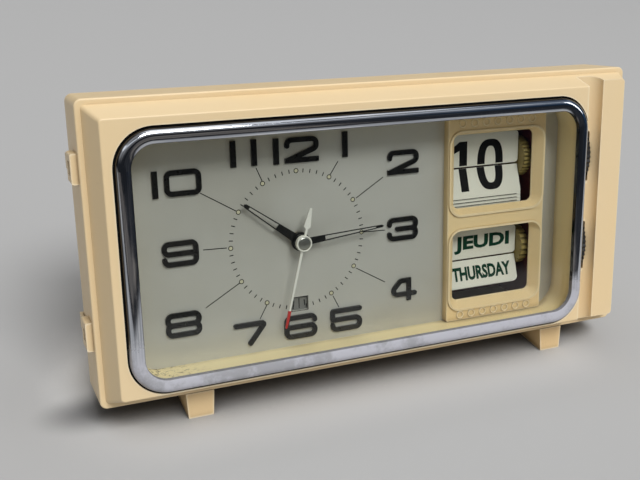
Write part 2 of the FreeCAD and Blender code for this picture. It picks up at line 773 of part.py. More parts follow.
def digit_strokes(digit, half_w, half_h):
    """Centre lines of a wide square-shouldered numeral in a box about the origin."""
    w, h = half_w, half_h
    strokes = {
        "0": [[(0, h), (-w, h), (-w, -h), (0, -h)], [(0, h), (w, h), (w, -h), (0, -h)]],
        "1": [[(0, -h), (0, h)]],
        "2": [[(-w, 0.45 * h), (-w, h), (w, h), (w, 0.1 * h), (-0.95 * w, -0.96 * h)], [(-w, -h), (w, -h)]],
        "3": [[(-w, 0.5 * h), (-w, h), (w, h), (w, 0), (-0.4 * w, 0)],
              [(w * 0.4, 0), (w, 0), (w, -h), (-w, -h), (-w, -0.5 * h)]],
        "4": [[(w, -0.5 * h), (-w, -0.5 * h), (-0.1 * w, h), (0.55 * w, h)], [(0.55 * w, -h), (0.55 * w, h)]],
        "5": [[(w, h), (-w, h, 0.5), (-w, 0.05 * h, 0.5), (w, 0.05 * h), (w, -h), (-w, -h), (-w, -0.5 * h)]],
        "6": [[(w, 0.55 * h), (w, h), (-w, h), (-w, -h), (0, -h)], [(0, -h), (w, -h), (w, 0), (-w, 0)]],
        "7": [[(-w, h), (w, h, 0.6), (-0.05 * w, -h)]],
        "8": [[(0, h), (-w, h), (-w, 0), (0, 0)], [(0, h), (w, h), (w, 0), (0, 0)],
              [(0, 0), (-w, 0), (-w, -h), (0, -h)], [(0, 0), (w, 0), (w, -h), (0, -h)]],
        "9": [[(-w, -0.55 * h), (-w, -h), (w, -h), (w, h), (0, h)], [(0, h), (-w, h), (-w, 0), (w, 0)]],
    }
    return strokes[digit]


# Middle of each hour's numeral on the dial, measured from the dial's centre
NUMERAL_PLACES = {
    "1": (22.0, 38.8), "2": (49.4, 29.0), "3": (49.2, -0.6), "4": (48.8, -28.8),
    "5": (21.4, -38.2), "6": (0.0, -38.2), "7": (-22.6, -38.0), "8": (-51.0, -29.2),
    "9": (-50.6, 0.7), "10": (-50.2, 29.2), "11": (-22.5, 38.6), "12": (0.2, 38.2),
}


def hour_numerals():
    """The twelve raised numerals that are set on the dial."""
    stroke = float(S.numeral_stroke)
    half_w = (float(S.numeral_width) - stroke) / 2
    half_h = (float(S.numeral_height) - stroke) / 2
    thick = float(S.numeral_thick)
    solids = []
    for hour, (x, z) in NUMERAL_PLACES.items():
        wide = 0.0
        for place, digit in enumerate(hour):
            if hour == "11":
                shift = (-1 + 2 * place) * 4.4
            elif len(hour) == 2:
                shift = -half_w - 2.4 if place == 0 else 2.3
            else:
                shift = wide
            slim = stroke * 1.1 if digit == "1" else stroke
            pieces = [rounded_stroke(line, 1.9, slim, thick) for line in digit_strokes(digit, half_w, half_h)]
            solid = pieces[0]
            for piece in pieces[1:]:
                solid = solid.fuse(piece)
            solid = solid.removeSplitter()
            solid.translate(Vector(float(S.dial_x) + x + shift, float(S.dial_depth) - thick, float(S.dial_z) + z))
            solids.extend(solid.Solids)
    feature = doc.addObject("Part::Feature", "hour_numerals")
    feature.Label = "hour_numerals"
    feature.Shape = Part.makeCompound(solids)
    return seat(feature)


# The calendar


def calendar_panel():
    """The raised panel with two funnel-shaped windows in lipped frames."""
    body = new_body("calendar_panel")
    face = S.dial_depth - S.panel_rise
    middle = S.panel_left + S.panel_width / 2
    slab(body, face, S.dial_depth,
         lambda sk: add_block(sk, S.panel_width, OPENING_HEIGHT - 2 * S.fit_gap, 0.8),
         x=middle, z=S.bezel_shift_z)
    frame_w = S.window_width + 2 * S.frame_border
    frame_h = S.window_height + S.frame_border + 1
    for window_z, shifted in ((S.date_window_z, S.date_frame_z), (S.day_window_z, S.day_frame_z)):
        slab(body, face - S.frame_lip, face,
             lambda sk: add_block(sk, frame_w, frame_h, 6.5), x=middle, z=shifted)
        near = front_sketch(body, face - S.frame_lip - 0.01, x=middle, z=shifted)
        add_block(near, frame_w - 2 * S.frame_lip, frame_h - 2 * S.frame_lip, 5.7)
        far = front_sketch(body, S.dial_depth - 0.6, x=middle, z=window_z)
        add_block(far, S.window_width, S.window_height, 2.6)
        loft(body, "Subtractive", near, far)
        cut_slab(body, S.dial_depth - 0.7, S.dial_depth + 1,
                 lambda sk: add_block(sk, S.window_width, S.window_height, 2.6), x=middle, z=window_z)
    return seat(body)


def calendar_frame():
    """Side plates and back wall that carry both drums."""
    body = new_body("calendar_frame")
    left = S.panel_left + 1.0
    right = S.panel_left + S.panel_width - 1.0
    height = OPENING_HEIGHT - 4
    slab(body, S.calendar_back - S.calendar_plate, S.calendar_back,
         lambda sk: add_block(sk, right - left, height, 1.0), x=(left + right) / 2, z=S.bezel_shift_z)
    for x in (left + S.calendar_plate / 2, right - S.calendar_plate / 2):
        slab(body, DIAL_BACK, S.calendar_back - S.calendar_plate,
             lambda sk: add_block(sk, S.calendar_plate, height, 0.1), x=x, z=S.bezel_shift_z)
    for axis_z in (S.date_axis_z, S.day_axis_z):
        bore = new_sketch(body, "YZ_Plane", x=S.drum_depth, y=axis_z)
        add_circle(bore, S.calendar_arbor_radius + S.running_gap)
        pocket(body, bore, 2 * S.case_width, middle=True)
    return seat(body)


def dial_screws():
    """Screws that hold the dial and its surround on the posts of the case."""
    feature = doc.addObject("Part::Feature", "dial_screws")
    feature.Label = "dial_screws"
    back = float(DIAL_BACK)
    front = float(S.dial_depth - S.surround_wall) - POST_SCREW_DEPTH
    solids = []
    for x, z in POSTS:
        x, z = float(x), float(z)
        shank = Part.makeCylinder(POST_SCREW, back - front, Vector(x, front, z), Vector(0, 1, 0))
        head = Part.makeCylinder(POST_SCREW * 1.7, 1.0, Vector(x, back, z), Vector(0, 1, 0))
        slot = Part.makeBox(4.0, 0.5, 0.4, Vector(x - 2.0, back + 0.6, z - 0.2))
        solids.append(shank.fuse(head).cut(slot).removeSplitter())
    feature.Shape = Part.makeCompound(solids)
    return seat(feature)


def cut_post_holes(body, radius):
    """Holes for the dial's screws."""
    for x, z in POSTS:
        cut_slab(body, S.dial_depth - S.surround_wall - POST_SCREW_DEPTH - 1, DIAL_BACK + 1, disc(radius), x=x, z=z)


def calendar_unit(name, axis_z, hinge_z, notches):
    """One set of drum, arbor, thumb wheel, leaves and detent."""
    left = S.panel_left + 1.0 + S.calendar_plate
    right = S.panel_left + S.panel_width - 1.0 - S.calendar_plate
    arbor = new_body(f"{name}_arbor")
    radius = S.calendar_arbor_radius
    start = S.panel_left + 0.4
    end = S.thumb_left + S.thumb_width + 1.0
    slab(arbor, 0, end - start, disc(radius))
    slab(arbor, float(right - start) + 2.0, float(right - start) + 3.0, disc(radius * 2))
    seat(arbor, start, S.drum_depth, axis_z, X_AXIS)

    drum = new_body(f"{name}_drum")
    bore = radius + 0.02
    slab(drum, 0, S.leaf_left - S.fit_gap - left - 0.3, disc(S.drum_radius - 1, bore))
    slab(drum, 0, right - left - 1.2, disc(S.core_radius, bore))
    flange = S.leaf_left + S.leaf_width + S.fit_gap - left - 0.3
    slab(drum, flange, right - left - 1.2, notched(S.drum_radius, notches, bore))
    seat(drum, left + 0.3, S.drum_depth, axis_z, X_AXIS)

    wheel = new_body(f"{name}_thumbwheel")
    slab(wheel, 0, S.thumb_width, knurled(S.thumb_radius, THUMB_RIDGES, bore))
    cut_slab(wheel, 0, 1.2, ring_draw(S.thumb_radius - 3, S.thumb_radius / 3))
    cut_slab(wheel, S.thumb_width - 1.2, S.thumb_width, ring_draw(S.thumb_radius - 3, S.thumb_radius / 3))
    seat(wheel, S.thumb_left, S.drum_depth, axis_z, X_AXIS)

    height = getattr(S, f"{name}_leaf_height")
    leaf_stack(f"{name}_leaves_upper", hinge_z, 1, height, 0.0)
    leaf_stack(f"{name}_leaves_lower", hinge_z, -1, height, getattr(S, f"{name}_leaf_drop"))
    flap = new_body(f"{name}_flap")
    slab(flap, -S.leaf_thick - 0.1, -0.1,
         lambda sk: add_block(sk, S.leaf_width, height + 0.3, 1.4),
         x=S.leaf_left + S.leaf_width / 2, z=(height + 0.3) / 2)
    roll = new_sketch(flap, "YZ_Plane", z=S.leaf_left + 1.4)
    add_circle(roll, LEAF_ROLL)
    pad(flap, roll, S.leaf_width - 2.8)
    seat(flap, 0, PIVOT_DEPTH, hinge_z)

    detent = new_body(f"{name}_detent")
    blade_x = S.leaf_left + S.leaf_width + 2.0
    behind = S.drum_depth + S.drum_radius + S.fit_gap
    slab(detent, behind, S.calendar_back - S.calendar_plate,
         lambda sk: add_block(sk, 2.4, 0.8, 0.1), x=blade_x, z=axis_z)
    slab(detent, S.calendar_back - S.calendar_plate - 0.6, S.calendar_back - S.calendar_plate,
         lambda sk: add_block(sk, 2.4, 9.0, 0.2), x=blade_x, z=axis_z - 4)
    return seat(detent)


def leaf_stack(label, hinge_z, side, leaf_height, leaf_drop):
    """Card leaves behind the flap: upright above its hinge, leaning forward below it.

    Each leaf further back stands a little lower, so its edge shows under the next.
    """
    feature = doc.addObject("Part::Feature", label)
    feature.Label = label
    height = float(leaf_height)
    solids = []
    for number in range(LEAF_PACK):
        front = (number + 0.5) * LEAF_PITCH if side > 0 else 0.5 + number * LEAF_PITCH
        drop = float(leaf_drop) * number
        low = 0.3 if side > 0 else -height - 0.9 - drop
        card = Part.makeBox(float(S.leaf_width), float(S.leaf_thick), height,
                            Vector(float(S.leaf_left), front, low))
        far = low + height if side > 0 else low
        corners = [edge for edge in card.Edges
                   if edge.BoundBox.YLength > 0.01 and edge.BoundBox.XLength < 0.01
                   and edge.BoundBox.ZLength < 0.01 and abs(edge.BoundBox.ZMin - far) < 0.01]
        solids.append(card.makeFillet(2.4, corners))
    feature.Shape = Part.makeCompound(solids)
    lean = 0.0 if side > 0 else -float(S.leaf_lean_deg)
    return seat(feature, 0, PIVOT_DEPTH, hinge_z, Rotation(Vector(1, 0, 0), lean))


def notched(radius, count, bore):
    """A drum flange with a notch for each leaf."""
    def draw(sketch):
        points = []
        step = 2 * math.pi / count
        for number in range(count):
            for share, depth in ((-0.30, 0), (0.30, 0), (0.36, 0.9), (0.64, 0.9)):
                angle = (number + share) * step
                reach = float(radius) - depth
                points.append((reach * math.cos(angle), reach * math.sin(angle)))
        add_outline(sketch, points)
        add_circle(sketch, bore)
    return draw


def knurled(radius, count, bore):
    """A wheel rim with a ridge for every step."""
    def draw(sketch):
        points = []
        for number in range(2 * count):
            angle = math.pi * number / count
            reach = float(radius) - (0.55 if number % 2 else 0.0)
            points.append((reach * math.cos(angle), reach * math.sin(angle)))
        add_outline(sketch, points)
        add_circle(sketch, bore)
    return draw


def ring_draw(outer, inner):
    def draw(sketch):
        add_circle(sketch, outer)
        add_circle(sketch, inner)
    return draw


# The hands


def blade_outline(stations, angle_deg):
    """Outline of a hand from (distance, half width) stations, turned from twelve o'clock."""
    turn = math.radians(float(angle_deg))
    left = [(-half, reach) for reach, half in stations]
    right = [(half, reach) for reach, half in reversed(stations)]
    return [(x * math.cos(turn) + z * math.sin(turn), -x * math.sin(turn) + z * math.cos(turn))
            for x, z in left + right]


def hand(label, depth, angle, stations, slot, boss, bore):
    """A flat hand with a boss; slot lists the stations of its open window, if it has one."""
    body = new_body(label)
    back = depth + S.hand_thick
    slab(body, depth, back, lambda sk: add_outline(sk, blade_outline(stations, angle)))
    slab(body, depth - 0.3, back + 0.5, disc(boss))
    if slot:
        cut_slab(body, depth - 1, back + 1, lambda sk: add_outline(sk, blade_outline(slot, angle)))
    cut_slab(body, depth - 1, back + 1, disc(bore))
    return seat(body, S.dial_x, 0, S.dial_z)


def hands():
    """The three hands; the hour and minute hands are open in the middle of their blades."""
    long = float(S.hour_hand_length)
    hand("hour_hand", S.hour_hand_depth, S.hour_angle_deg,
         [(0, 2.0), (long - 0.8, 0.85), (long, 0.35)], [(12.5, 1.0), (long - 2.6, 0.48)],
         4.0, CANNON_RADIUS + 0.62)
    long = float(S.minute_hand_length)
    hand("minute_hand", S.minute_hand_depth, S.minute_angle_deg,
         [(0, 1.6), (long - 0.6, 0.55), (long, 0.25)], [(10.5, 0.88), (long - 3.4, 0.26)],
         3.6, CANNON_RADIUS + 0.02)
    long = float(S.second_hand_length)
    hand("second_hand", S.second_hand_depth, S.second_angle_deg,
         [(-15.0, 0.5), (-7.0, 1.5), (-6.2, 0.45), (0, 0.55), (long, 0.35)], [],
         3.4, SECOND_RADIUS + 0.02)


# The movement


def movement_plate(label, front, back):
    body = new_body(label)
    width = 2 * S.plate_half_width
    slab(body, front, back,
         lambda sk: add_block(sk, width, S.plate_top + S.plate_bottom, 4.0),
         x=S.dial_x, z=S.dial_z + (S.plate_top - S.plate_bottom) / 2)
    clear = S.arbor_radius + S.running_gap
    wide = {name: KEY_ARBOR + S.running_gap for name in ("time", "alarm")}
    wide.update({name: S.train_arbor + S.running_gap for name in ("third", "escape")})
    for name, (x, z) in ARBORS.items():
        radius = wide.get(name, clear)
        if label == "movement_front_plate" and name == "centre":
            radius = CANNON_RADIUS + 1.2
        cut_slab(body, front - 1, back + 1, disc(radius), x=x, z=z)
    for x, z in PILLARS:
        cut_slab(body, front - 1, back + 1, disc(PILLAR_NECK + 0.02), x=x, z=z)
    return seat(body)


def movement_pillars():
    """Four pillars with necks that pass the plates; the front necks hold the dial."""
    feature = doc.addObject("Part::Feature", "movement_pillars")
    feature.Label = "movement_pillars"
    solids = []
    for x, z in PILLARS:
        barrel = Part.makeCylinder(float(S.pillar_radius), float(S.plate_gap),
                                   Vector(float(x), float(FRONT_PLATE_BACK), float(z)), Vector(0, 1, 0))
        neck = Part.makeCylinder(PILLAR_NECK, float(BACK_PLATE_BACK - DIAL_BACK),
                                 Vector(float(x), float(DIAL_BACK), float(z)), Vector(0, 1, 0))
        foot = Part.makeCylinder(float(S.pillar_radius), float(S.front_plate_depth - DIAL_BACK),
                                 Vector(float(x), float(DIAL_BACK), float(z)), Vector(0, 1, 0))
        solids.append(barrel.fuse(neck).fuse(foot).removeSplitter())
    feature.Shape = Part.makeCompound(solids)
    return seat(feature)


def arbor_profile(parts):
    """A stepped turned profile from lengths and radii along the arbor."""
    points = [(0, float(parts[0][0]))]
    for start, end, radius in parts:
        points.append((float(radius), float(start)))
        points.append((float(radius), float(end)))
    points.append((0, float(parts[-1][1])))
    return points


def wheel(label, place, arbor, layers, bore=None):
    """An arbor with toothed or plain discs on it, in the place of one arbor."""
    body = new_body(label)
    if arbor:
        turned(body, arbor_profile(arbor))
    for front, back, draw in layers:
        slab(body, front, back, draw)
    if bore is not None:
        cut_slab(body, -100, 200, disc(bore))
    x, z = place
    return seat(body, x, 0, z)


def going_train():
    """Centre, third, fourth and escape wheels between the plates."""
    slim = S.arbor_radius
    front = S.front_plate_depth
    back = BACK_PLATE_BACK
    centre_y = FRONT_PLATE_BACK + 1.8
    third_y = centre_y + 7.0
    fourth_y = third_y + 5.0
    escape_y = fourth_y + 4.0
    thick = S.wheel_thick
    wheel("centre_wheel", ARBORS["centre"], [],
          [(S.minute_hand_depth - 0.4, third_y - 1.3, disc(CENTRE_TUBE)),
           (centre_y, centre_y + thick, toothed(48, CENTRE_MODULE, 0.0)),
           (centre_y + 2.4, centre_y + 5.2, toothed(6, BARREL_MODULE, CENTRE_PINION_PHASE))],
          bore=SECOND_RADIUS + S.running_gap)
    wheel("third_wheel", ARBORS["third"], [(front, back, S.train_arbor)],
          [(centre_y - 0.4, centre_y + thick + 0.4, toothed(6, CENTRE_MODULE, THIRD_PINION_PHASE)),
           (third_y, third_y + thick, toothed(45, THIRD_MODULE, THIRD_PHASE))])
    wheel("fourth_wheel", ARBORS["centre"],
          [(S.second_hand_depth - 1.0, third_y - 1.0, SECOND_RADIUS), (third_y - 1.0, back, slim)],
          [(third_y - 0.4, third_y + thick + 0.4, toothed(6, THIRD_MODULE, FOURTH_PINION_PHASE)),
           (fourth_y, fourth_y + thick, toothed(45, FOURTH_MODULE, FOURTH_PHASE))])
    wheel("escape_wheel", ARBORS["escape"], [(front, back, S.train_arbor)],
          [(fourth_y - 0.4, fourth_y + thick + 0.4, toothed(6, FOURTH_MODULE, ESCAPE_PINION_PHASE)),
           (escape_y, escape_y + thick, escape_teeth(15, 6.6))])
    return escape_y


def escape_teeth(count, radius):
    """Club-tooth escape wheel outline with raked teeth."""
    def draw(sketch):
        points = []
        step = 2 * math.pi / count
        for number in range(count):
            for share, reach in ((0.0, radius - 1.6), (0.42, radius), (0.56, radius), (0.50, radius - 1.6)):
                angle = (number + share) * step
                points.append((reach * math.cos(angle), reach * math.sin(angle)))
        add_outline(sketch, points)
    return draw


def escapement(escape_y):
    """Pallet lever, balance wheel and hairspring."""
    slim = S.arbor_radius
    lever = new_body("pallet_lever")
    turned(lever, arbor_profile([(S.front_plate_depth, BACK_PLATE_BACK, slim)]))
    to_balance = math.atan2(float(BALANCE_Z - PALLET_Z), float(BALANCE_X - PALLET_X))
    along = Vector(math.cos(to_balance), math.sin(to_balance), 0)
    across = Vector(-along.y, along.x, 0)

    def outline(sketch):
        shape = [(-2.0, -4.2), (-0.6, -4.2), (1.0, -0.8), (4.6, -0.7), (4.6, 0.7), (1.0, 0.8), (-0.6, 4.2), (-2.0, 4.2)]
        add_outline(sketch, [(along.x * a + across.x * b, along.y * a + across.y * b) for a, b in shape])
    slab(lever, escape_y - 1.6, escape_y - 0.6, outline)
    seat(lever, PALLET_X, 0, PALLET_Z)

    balance = new_body("balance_wheel")
    rim_y = escape_y + 2.0
    turned(balance, arbor_profile([(S.front_plate_depth, BACK_PLATE_BACK, slim)]))
    slab(balance, rim_y, rim_y + 1.4, ring_draw(BALANCE_RADIUS, BALANCE_RADIUS - 1.4))
    slab(balance, rim_y, rim_y + 0.8, lambda sk: add_block(sk, 2 * BALANCE_RADIUS - 1.6, 2.0, 0.2))
    seat(balance, BALANCE_X, 0, BALANCE_Z)

    spring = doc.addObject("Part::Feature", "hairspring")
    spring.Label = "hairspring"
    spring.Shape = Part.makeCompound([spiral_ribbon(2.2, 6.0, 5, 0.25, 0.7, float(rim_y) - 1.6)])
    seat(spring, BALANCE_X, 0, BALANCE_Z)


def spiral_ribbon(inner, outer, turns, thick, width, front):
    """A flat spiral of half rings, each a little wider than the last."""
    solids = None
    steps = 2 * turns
    gain = (outer - inner) / steps
    angle = 0.0
    centre = Vector(0, 0, 0)
    radius = inner
    edges = []
    start = Vector(inner, 0, 0)
    for number in range(steps):
        direction = 1 if number % 2 == 0 else -1
        centre = Vector(start.x - direction * radius, 0, 0)
        arc = Part.ArcOfCircle(Part.Circle(centre, Vector(0, 0, 1), radius), angle, angle + math.pi)
        edges.append(arc.toShape())
        start = Vector(centre.x - direction * radius, 0, 0)
        angle += math.pi
        radius += gain / 1.0
    line = Part.Wire(edges)
    outline = line.makeOffset2D(thick / 2, fill=False, openResult=False)
    face = Part.Face(outline.Wires[0])
    solids = face.extrude(Vector(0, 0, width))
    solids.rotate(Vector(0, 0, 0), Vector(1, 0, 0), 90)
    solids.translate(Vector(0, front + width, 0))
    return solids


def barrels():
    """The two mainspring barrels; the time barrel's rim drives the centre pinion."""
    centre_y = FRONT_PLATE_BACK + 1.8
    low = centre_y + 2.6
    wheel("time_barrel", ARBORS["time"], [],
          [(low, low + 1.6, toothed(48, BARREL_MODULE, BARREL_PHASE)), (low, low + 7.4, disc(BARREL_RADIUS))],
          bore=KEY_ARBOR + S.running_gap)
    wheel("alarm_barrel", ARBORS["alarm"], [], [(low, low + 8.0, disc(11.0))], bore=KEY_ARBOR + S.running_gap)


def motion_work():
    """Cannon pinion, minute wheel, hour wheel and the twenty-four hour wheel."""
    thick = S.wheel_thick
    hour_y = DIAL_BACK + 2.5
    minute_y = hour_y + 2.0
    wheel("cannon_pinion", ARBORS["centre"], [],
          [(S.minute_hand_depth - 0.6, minute_y + 1.6, disc(CANNON_RADIUS)),
           (minute_y - 0.2, minute_y + thick + 0.4, toothed(8, MINUTE_MODULE, 0.0))],
          bore=CENTRE_BORE)
    wheel("hour_wheel", ARBORS["centre"], [],
          [(S.hour_hand_depth - 0.6, hour_y + thick, disc(CANNON_RADIUS + 0.6)),
           (hour_y, hour_y + thick - 0.2, toothed(32, HOUR_MODULE, HOUR_PHASE))],
          bore=CANNON_RADIUS + S.running_gap)
    wheel("minute_wheel", ARBORS["set"],
          [(hour_y - 0.4, SET_ARBOR_END, S.arbor_radius)],
          [(hour_y - 0.3, hour_y + thick + 0.2, toothed(8, HOUR_MODULE, MINUTE_PINION_PHASE)),
           (minute_y, minute_y + thick - 0.2, toothed(24, MINUTE_MODULE, MINUTE_PHASE))])
    wheel("day_cam_wheel", ARBORS["cam"], [(DIAL_BACK + 0.4, FRONT_PLATE_BACK, S.arbor_radius)],
          [(hour_y, hour_y + thick - 0.2, toothed(64, HOUR_MODULE, CAM_PHASE)),
           (hour_y + thick - 0.2, hour_y + thick + 1.4, cam_outline)])


def cam_outline(sketch):
    """A snail cam that lets the calendar slide drop once a day."""
    points = []
    for number in range(CAM_POINTS):
        share = number / (CAM_POINTS - 1)
        reach = CAM_LOW + (CAM_HIGH - CAM_LOW) * share
        angle = 2 * math.pi * share * 0.97
        points.append((reach * math.cos(angle), reach * math.sin(angle)))
    add_outline(sketch, points)


def alarm_work():
    """Alarm disc behind the dial, its setting arbor, hammer and bell."""
    disc_y = DIAL_BACK + 0.4
    wheel("alarm_disc", ARBORS["centre"], [],
          [(disc_y, disc_y + 0.5, disc(ALARM_DISC_RADIUS)),
           (disc_y + 0.5, disc_y + 1.5, toothed(36, ALARM_MODULE, 0.0))],
          bore=CANNON_RADIUS + 0.6 + S.running_gap)
    wheel("alarm_set_arbor", ARBORS["alarm_set"], [(disc_y + 0.6, SET_ARBOR_END, S.arbor_radius)],
          [(disc_y + 0.6, disc_y + 1.6, toothed(12, ALARM_MODULE, ALARM_PINION_PHASE))])
    bell = new_body("alarm_bell")
    turned(bell, [(0, 0), (1.6, 0), (1.6, 3.0), (BELL_RADIUS - 2, 3.0), (BELL_RADIUS, 5.2), (BELL_RADIUS, 9.0),
                  (BELL_RADIUS - 1, 9.0), (BELL_RADIUS - 1, 5.6), (BELL_RADIUS - 2.4, 4.0), (0, 4.0)])
    seat(bell, BELL_X, BACK_PLATE_BACK, BELL_Z)
    hammer = new_body("alarm_hammer")
    pivot = (float(HAMMER_X), float(HAMMER_Z))
    turned(hammer, arbor_profile([(S.front_plate_depth, BACK_PLATE_BACK + 6.0, S.arbor_radius)]))
    reach = HAMMER_REACH
    slab(hammer, BACK_PLATE_BACK + 4.0, BACK_PLATE_BACK + 5.2,
         lambda sk: add_block(sk, 2.0, reach, 0.4), z=-reach / 2 + 1)
    slab(hammer, BACK_PLATE_BACK + 3.4, BACK_PLATE_BACK + 8.4,
         disc(2.4), z=-reach + 1)
    seat(hammer, pivot[0], 0, pivot[1])


# Keys and knobs at the back


def winding_key(label, place):
    """A winding arbor with a folded wing key behind the cover."""
    body = new_body(label)
    back = COVER_BACK + S.knob_stand
    turned(body, arbor_profile([(S.front_plate_depth, back, KEY_ARBOR),
                                (back, back + S.key_boss + 2.0, KEY_ARBOR + 1.2)]))
    span = S.key_span
    wing = new_sketch(body, "XZ_Plane", 0, 0, -(back + S.key_boss + S.key_length / 2))
    add_block(wing, span, 1.6, 0.6)
    pad(body, wing, S.key_length, middle=True)
    x, z = place
    return seat(body, x, 0, z)


def set_knob(label, place):
    """A ribbed knob on the end of a setting arbor."""
    body = new_body(label)
    front = COVER_BACK + S.knob_stand
    slab(body, front, front + S.knob_length, knurled(S.knob_radius, 18, S.arbor_radius + 0.02))
    x, z = place
    return seat(body, x, 0, z)


def alarm_stop_button():
    body = new_body("alarm_stop_button")
    turned(body, arbor_profile([(BACK_PLATE_BACK + 8.0, COVER_BACK - 5.0, 1.2),
                                (COVER_BACK - 5.0, COVER_BACK + 6.0, STOP_RADIUS)]))
    return seat(body, STOP_X, 0, STOP_Z)


def calendar_slide():
    """The sliding bar that the day cam lifts and whose arms step both drums."""
    body = new_body("calendar_slide")
    left = S.panel_left + 1.0 - S.fit_gap - SLIDE_THICK
    front = DIAL_BACK + 4.0
    slab(body, front, front + 5.0,
         lambda sk: add_block(sk, SLIDE_THICK, 56.0, 0.2), x=left + SLIDE_THICK / 2, z=0)
    slab(body, front, front + 1.2,
         lambda sk: add_block(sk, SLIDE_ARM, 4.0, 0.4), x=left + SLIDE_THICK - SLIDE_ARM / 2,
         z=S.dial_z + CAM_HIGH + 2.3)
    return seat(body)


# Places and ratios inside the movement, in millimetres and radians
GLASS_FRONT = 0.1
SECOND_RADIUS = 0.6
CENTRE_TUBE = 1.3
CENTRE_BORE = 1.36
CANNON_RADIUS = 2.1
PILLAR_NECK = 1.5
KEY_ARBOR = 2.2
BARREL_RADIUS = 11.0
BARREL_MODULE = 0.56
CENTRE_MODULE = 0.52
THIRD_MODULE = CENTRE_MODULE * 54 / 51
FOURTH_MODULE = 0.552
MINUTE_MODULE = 0.90
HOUR_MODULE = MINUTE_MODULE * 32 / 40
ALARM_MODULE = 0.80
ALARM_DISC_RADIUS = 33.0
BALANCE_RADIUS = 8.4
BELL_RADIUS = 15.0
LEAF_PACK = 4
LEAF_PITCH = 0.40
LEAF_ROLL = 0.25
PIVOT_DEPTH = S.drum_depth - S.core_radius - S.fit_gap - LEAF_PACK * LEAF_PITCH - 0.3
THUMB_RIDGES = 60
STOP_RADIUS = 2.5
POST_SCREW = 0.8
POST_SCREW_DEPTH = 6.0
POST_THICK = 2.5
POST_EDGE = OPENING_HEIGHT / 2 + 2.0 * S.surround_wall
POSTS = [(S.bezel_shift_x + across, S.bezel_shift_z + side * POST_EDGE)
         for across in (-80.0, -10.0, 70.0) for side in (-1, 1)]
SOUND_SLOTS = 6
SOUND_SLOT_LENGTH = 34.0
SOUND_SLOT_HEIGHT = 2.4
SOUND_PITCH = 5.0
REGULATOR_SLOT = 14.0
CAM_POINTS = 25
CAM_LOW = 5.0
CAM_HIGH = 8.0
SLIDE_THICK = 1.4
SLIDE_ARM = 30.0
HAMMER_REACH = 16.0


def around(angle_deg, distance, origin=None):
    """A point at an angle and distance from the dial's centre or from another arbor."""
    start_x, start_z = origin or (S.dial_x, S.dial_z)
    turn = math.radians(angle_deg)
    return (start_x + distance * math.cos(turn), start_z + distance * math.sin(turn))


ANGLES = {"third": 60.0, "escape": 330.0, "time": 200.0, "set": 270.0, "alarm_set": 112.0, "cam": 0.0}
ARBORS = {
    "centre": (S.dial_x, S.dial_z),
    "third": around(ANGLES["third"], CENTRE_MODULE * 27),
    "escape": around(ANGLES["escape"], FOURTH_MODULE * 25.5),
    "time": around(ANGLES["time"], BARREL_MODULE * 27),
    "set": around(ANGLES["set"], MINUTE_MODULE * 16),
    "alarm_set": around(ANGLES["alarm_set"], ALARM_MODULE * 24),
}
ARBORS["alarm"] = (S.dial_x - 20.5, S.dial_z + 20.5)
ARBORS["cam"] = around(ANGLES["cam"], HOUR_MODULE * 48)
PALLET_X, PALLET_Z = around(322.0, 9.4, ARBORS["escape"])
BALANCE_X, BALANCE_Z = around(322.0, 19.4, ARBORS["escape"])
ARBORS["pallet"] = (PALLET_X, PALLET_Z)
ARBORS["balance"] = (BALANCE_X, BALANCE_Z)
HAMMER_X = S.dial_x + 30.1
HAMMER_Z = S.dial_z + 22.0
ARBORS["hammer"] = (HAMMER_X, HAMMER_Z)
BELL_X = S.dial_x + 12.0
BELL_Z = S.dial_z + 14.0
STOP_X = S.dial_x + 14.0
STOP_Z = S.dial_z + 44.0
SOUND_X = S.dial_x + 70.0
SOUND_Z = S.dial_z + 24.0
PILLARS = [(S.dial_x + side * (S.plate_half_width - 4), S.dial_z + lift)
           for side in (-1, 1) for lift in (S.plate_top - 5, 5 - S.plate_bottom)]
REAR_ARBORS = {name: ARBORS[name] for name in ("time", "alarm", "set", "alarm_set")}
SET_ARBOR_END = COVER_BACK + S.knob_stand + S.knob_length


def mesh_phase(angle_deg, driver_teeth, driver_phase, follower_teeth):
    """The follower's phase that sets its gap on the driver's tooth along their line."""
    line = math.radians(angle_deg)
    driver_offset = (line - driver_phase) * driver_teeth
    return line + math.pi + (driver_offset + math.pi) / follower_teeth


THIRD_PINION_PHASE = mesh_phase(ANGLES["third"], 48, 0.0, 6)
THIRD_PHASE = 0.0
FOURTH_PINION_PHASE = mesh_phase(ANGLES["third"] + 180, 45, THIRD_PHASE, 6)
FOURTH_PHASE = 0.0
ESCAPE_PINION_PHASE = mesh_phase(ANGLES["escape"], 45, FOURTH_PHASE, 6)
CENTRE_PINION_PHASE = 0.0
BARREL_PHASE = mesh_phase(ANGLES["time"], 6, CENTRE_PINION_PHASE, 48)
MINUTE_PHASE = mesh_phase(ANGLES["set"], 8, 0.0, 24)
MINUTE_PINION_PHASE = 0.0
HOUR_PHASE = mesh_phase(ANGLES["set"] + 180, 8, MINUTE_PINION_PHASE, 32)
CAM_PHASE = mesh_phase(ANGLES["cam"], 32, HOUR_PHASE, 64)
ALARM_PINION_PHASE = mesh_phase(ANGLES["alarm_set"], 36, 0.0, 12)

# How far the clock reaches to the front and to the back, for its resting frame
LEAN = lean_of_case()
FRONT_Z_LOW = float(S.bezel_height / 2 - S.bezel_shift_z - S.bezel_band / 2)
BACK_REACH = COVER_BACK + S.knob_stand + S.key_boss + S.key_length
KEY_Z_HIGH = float(ARBORS["alarm"][1])
CASE_FRAME = frame_of_case()


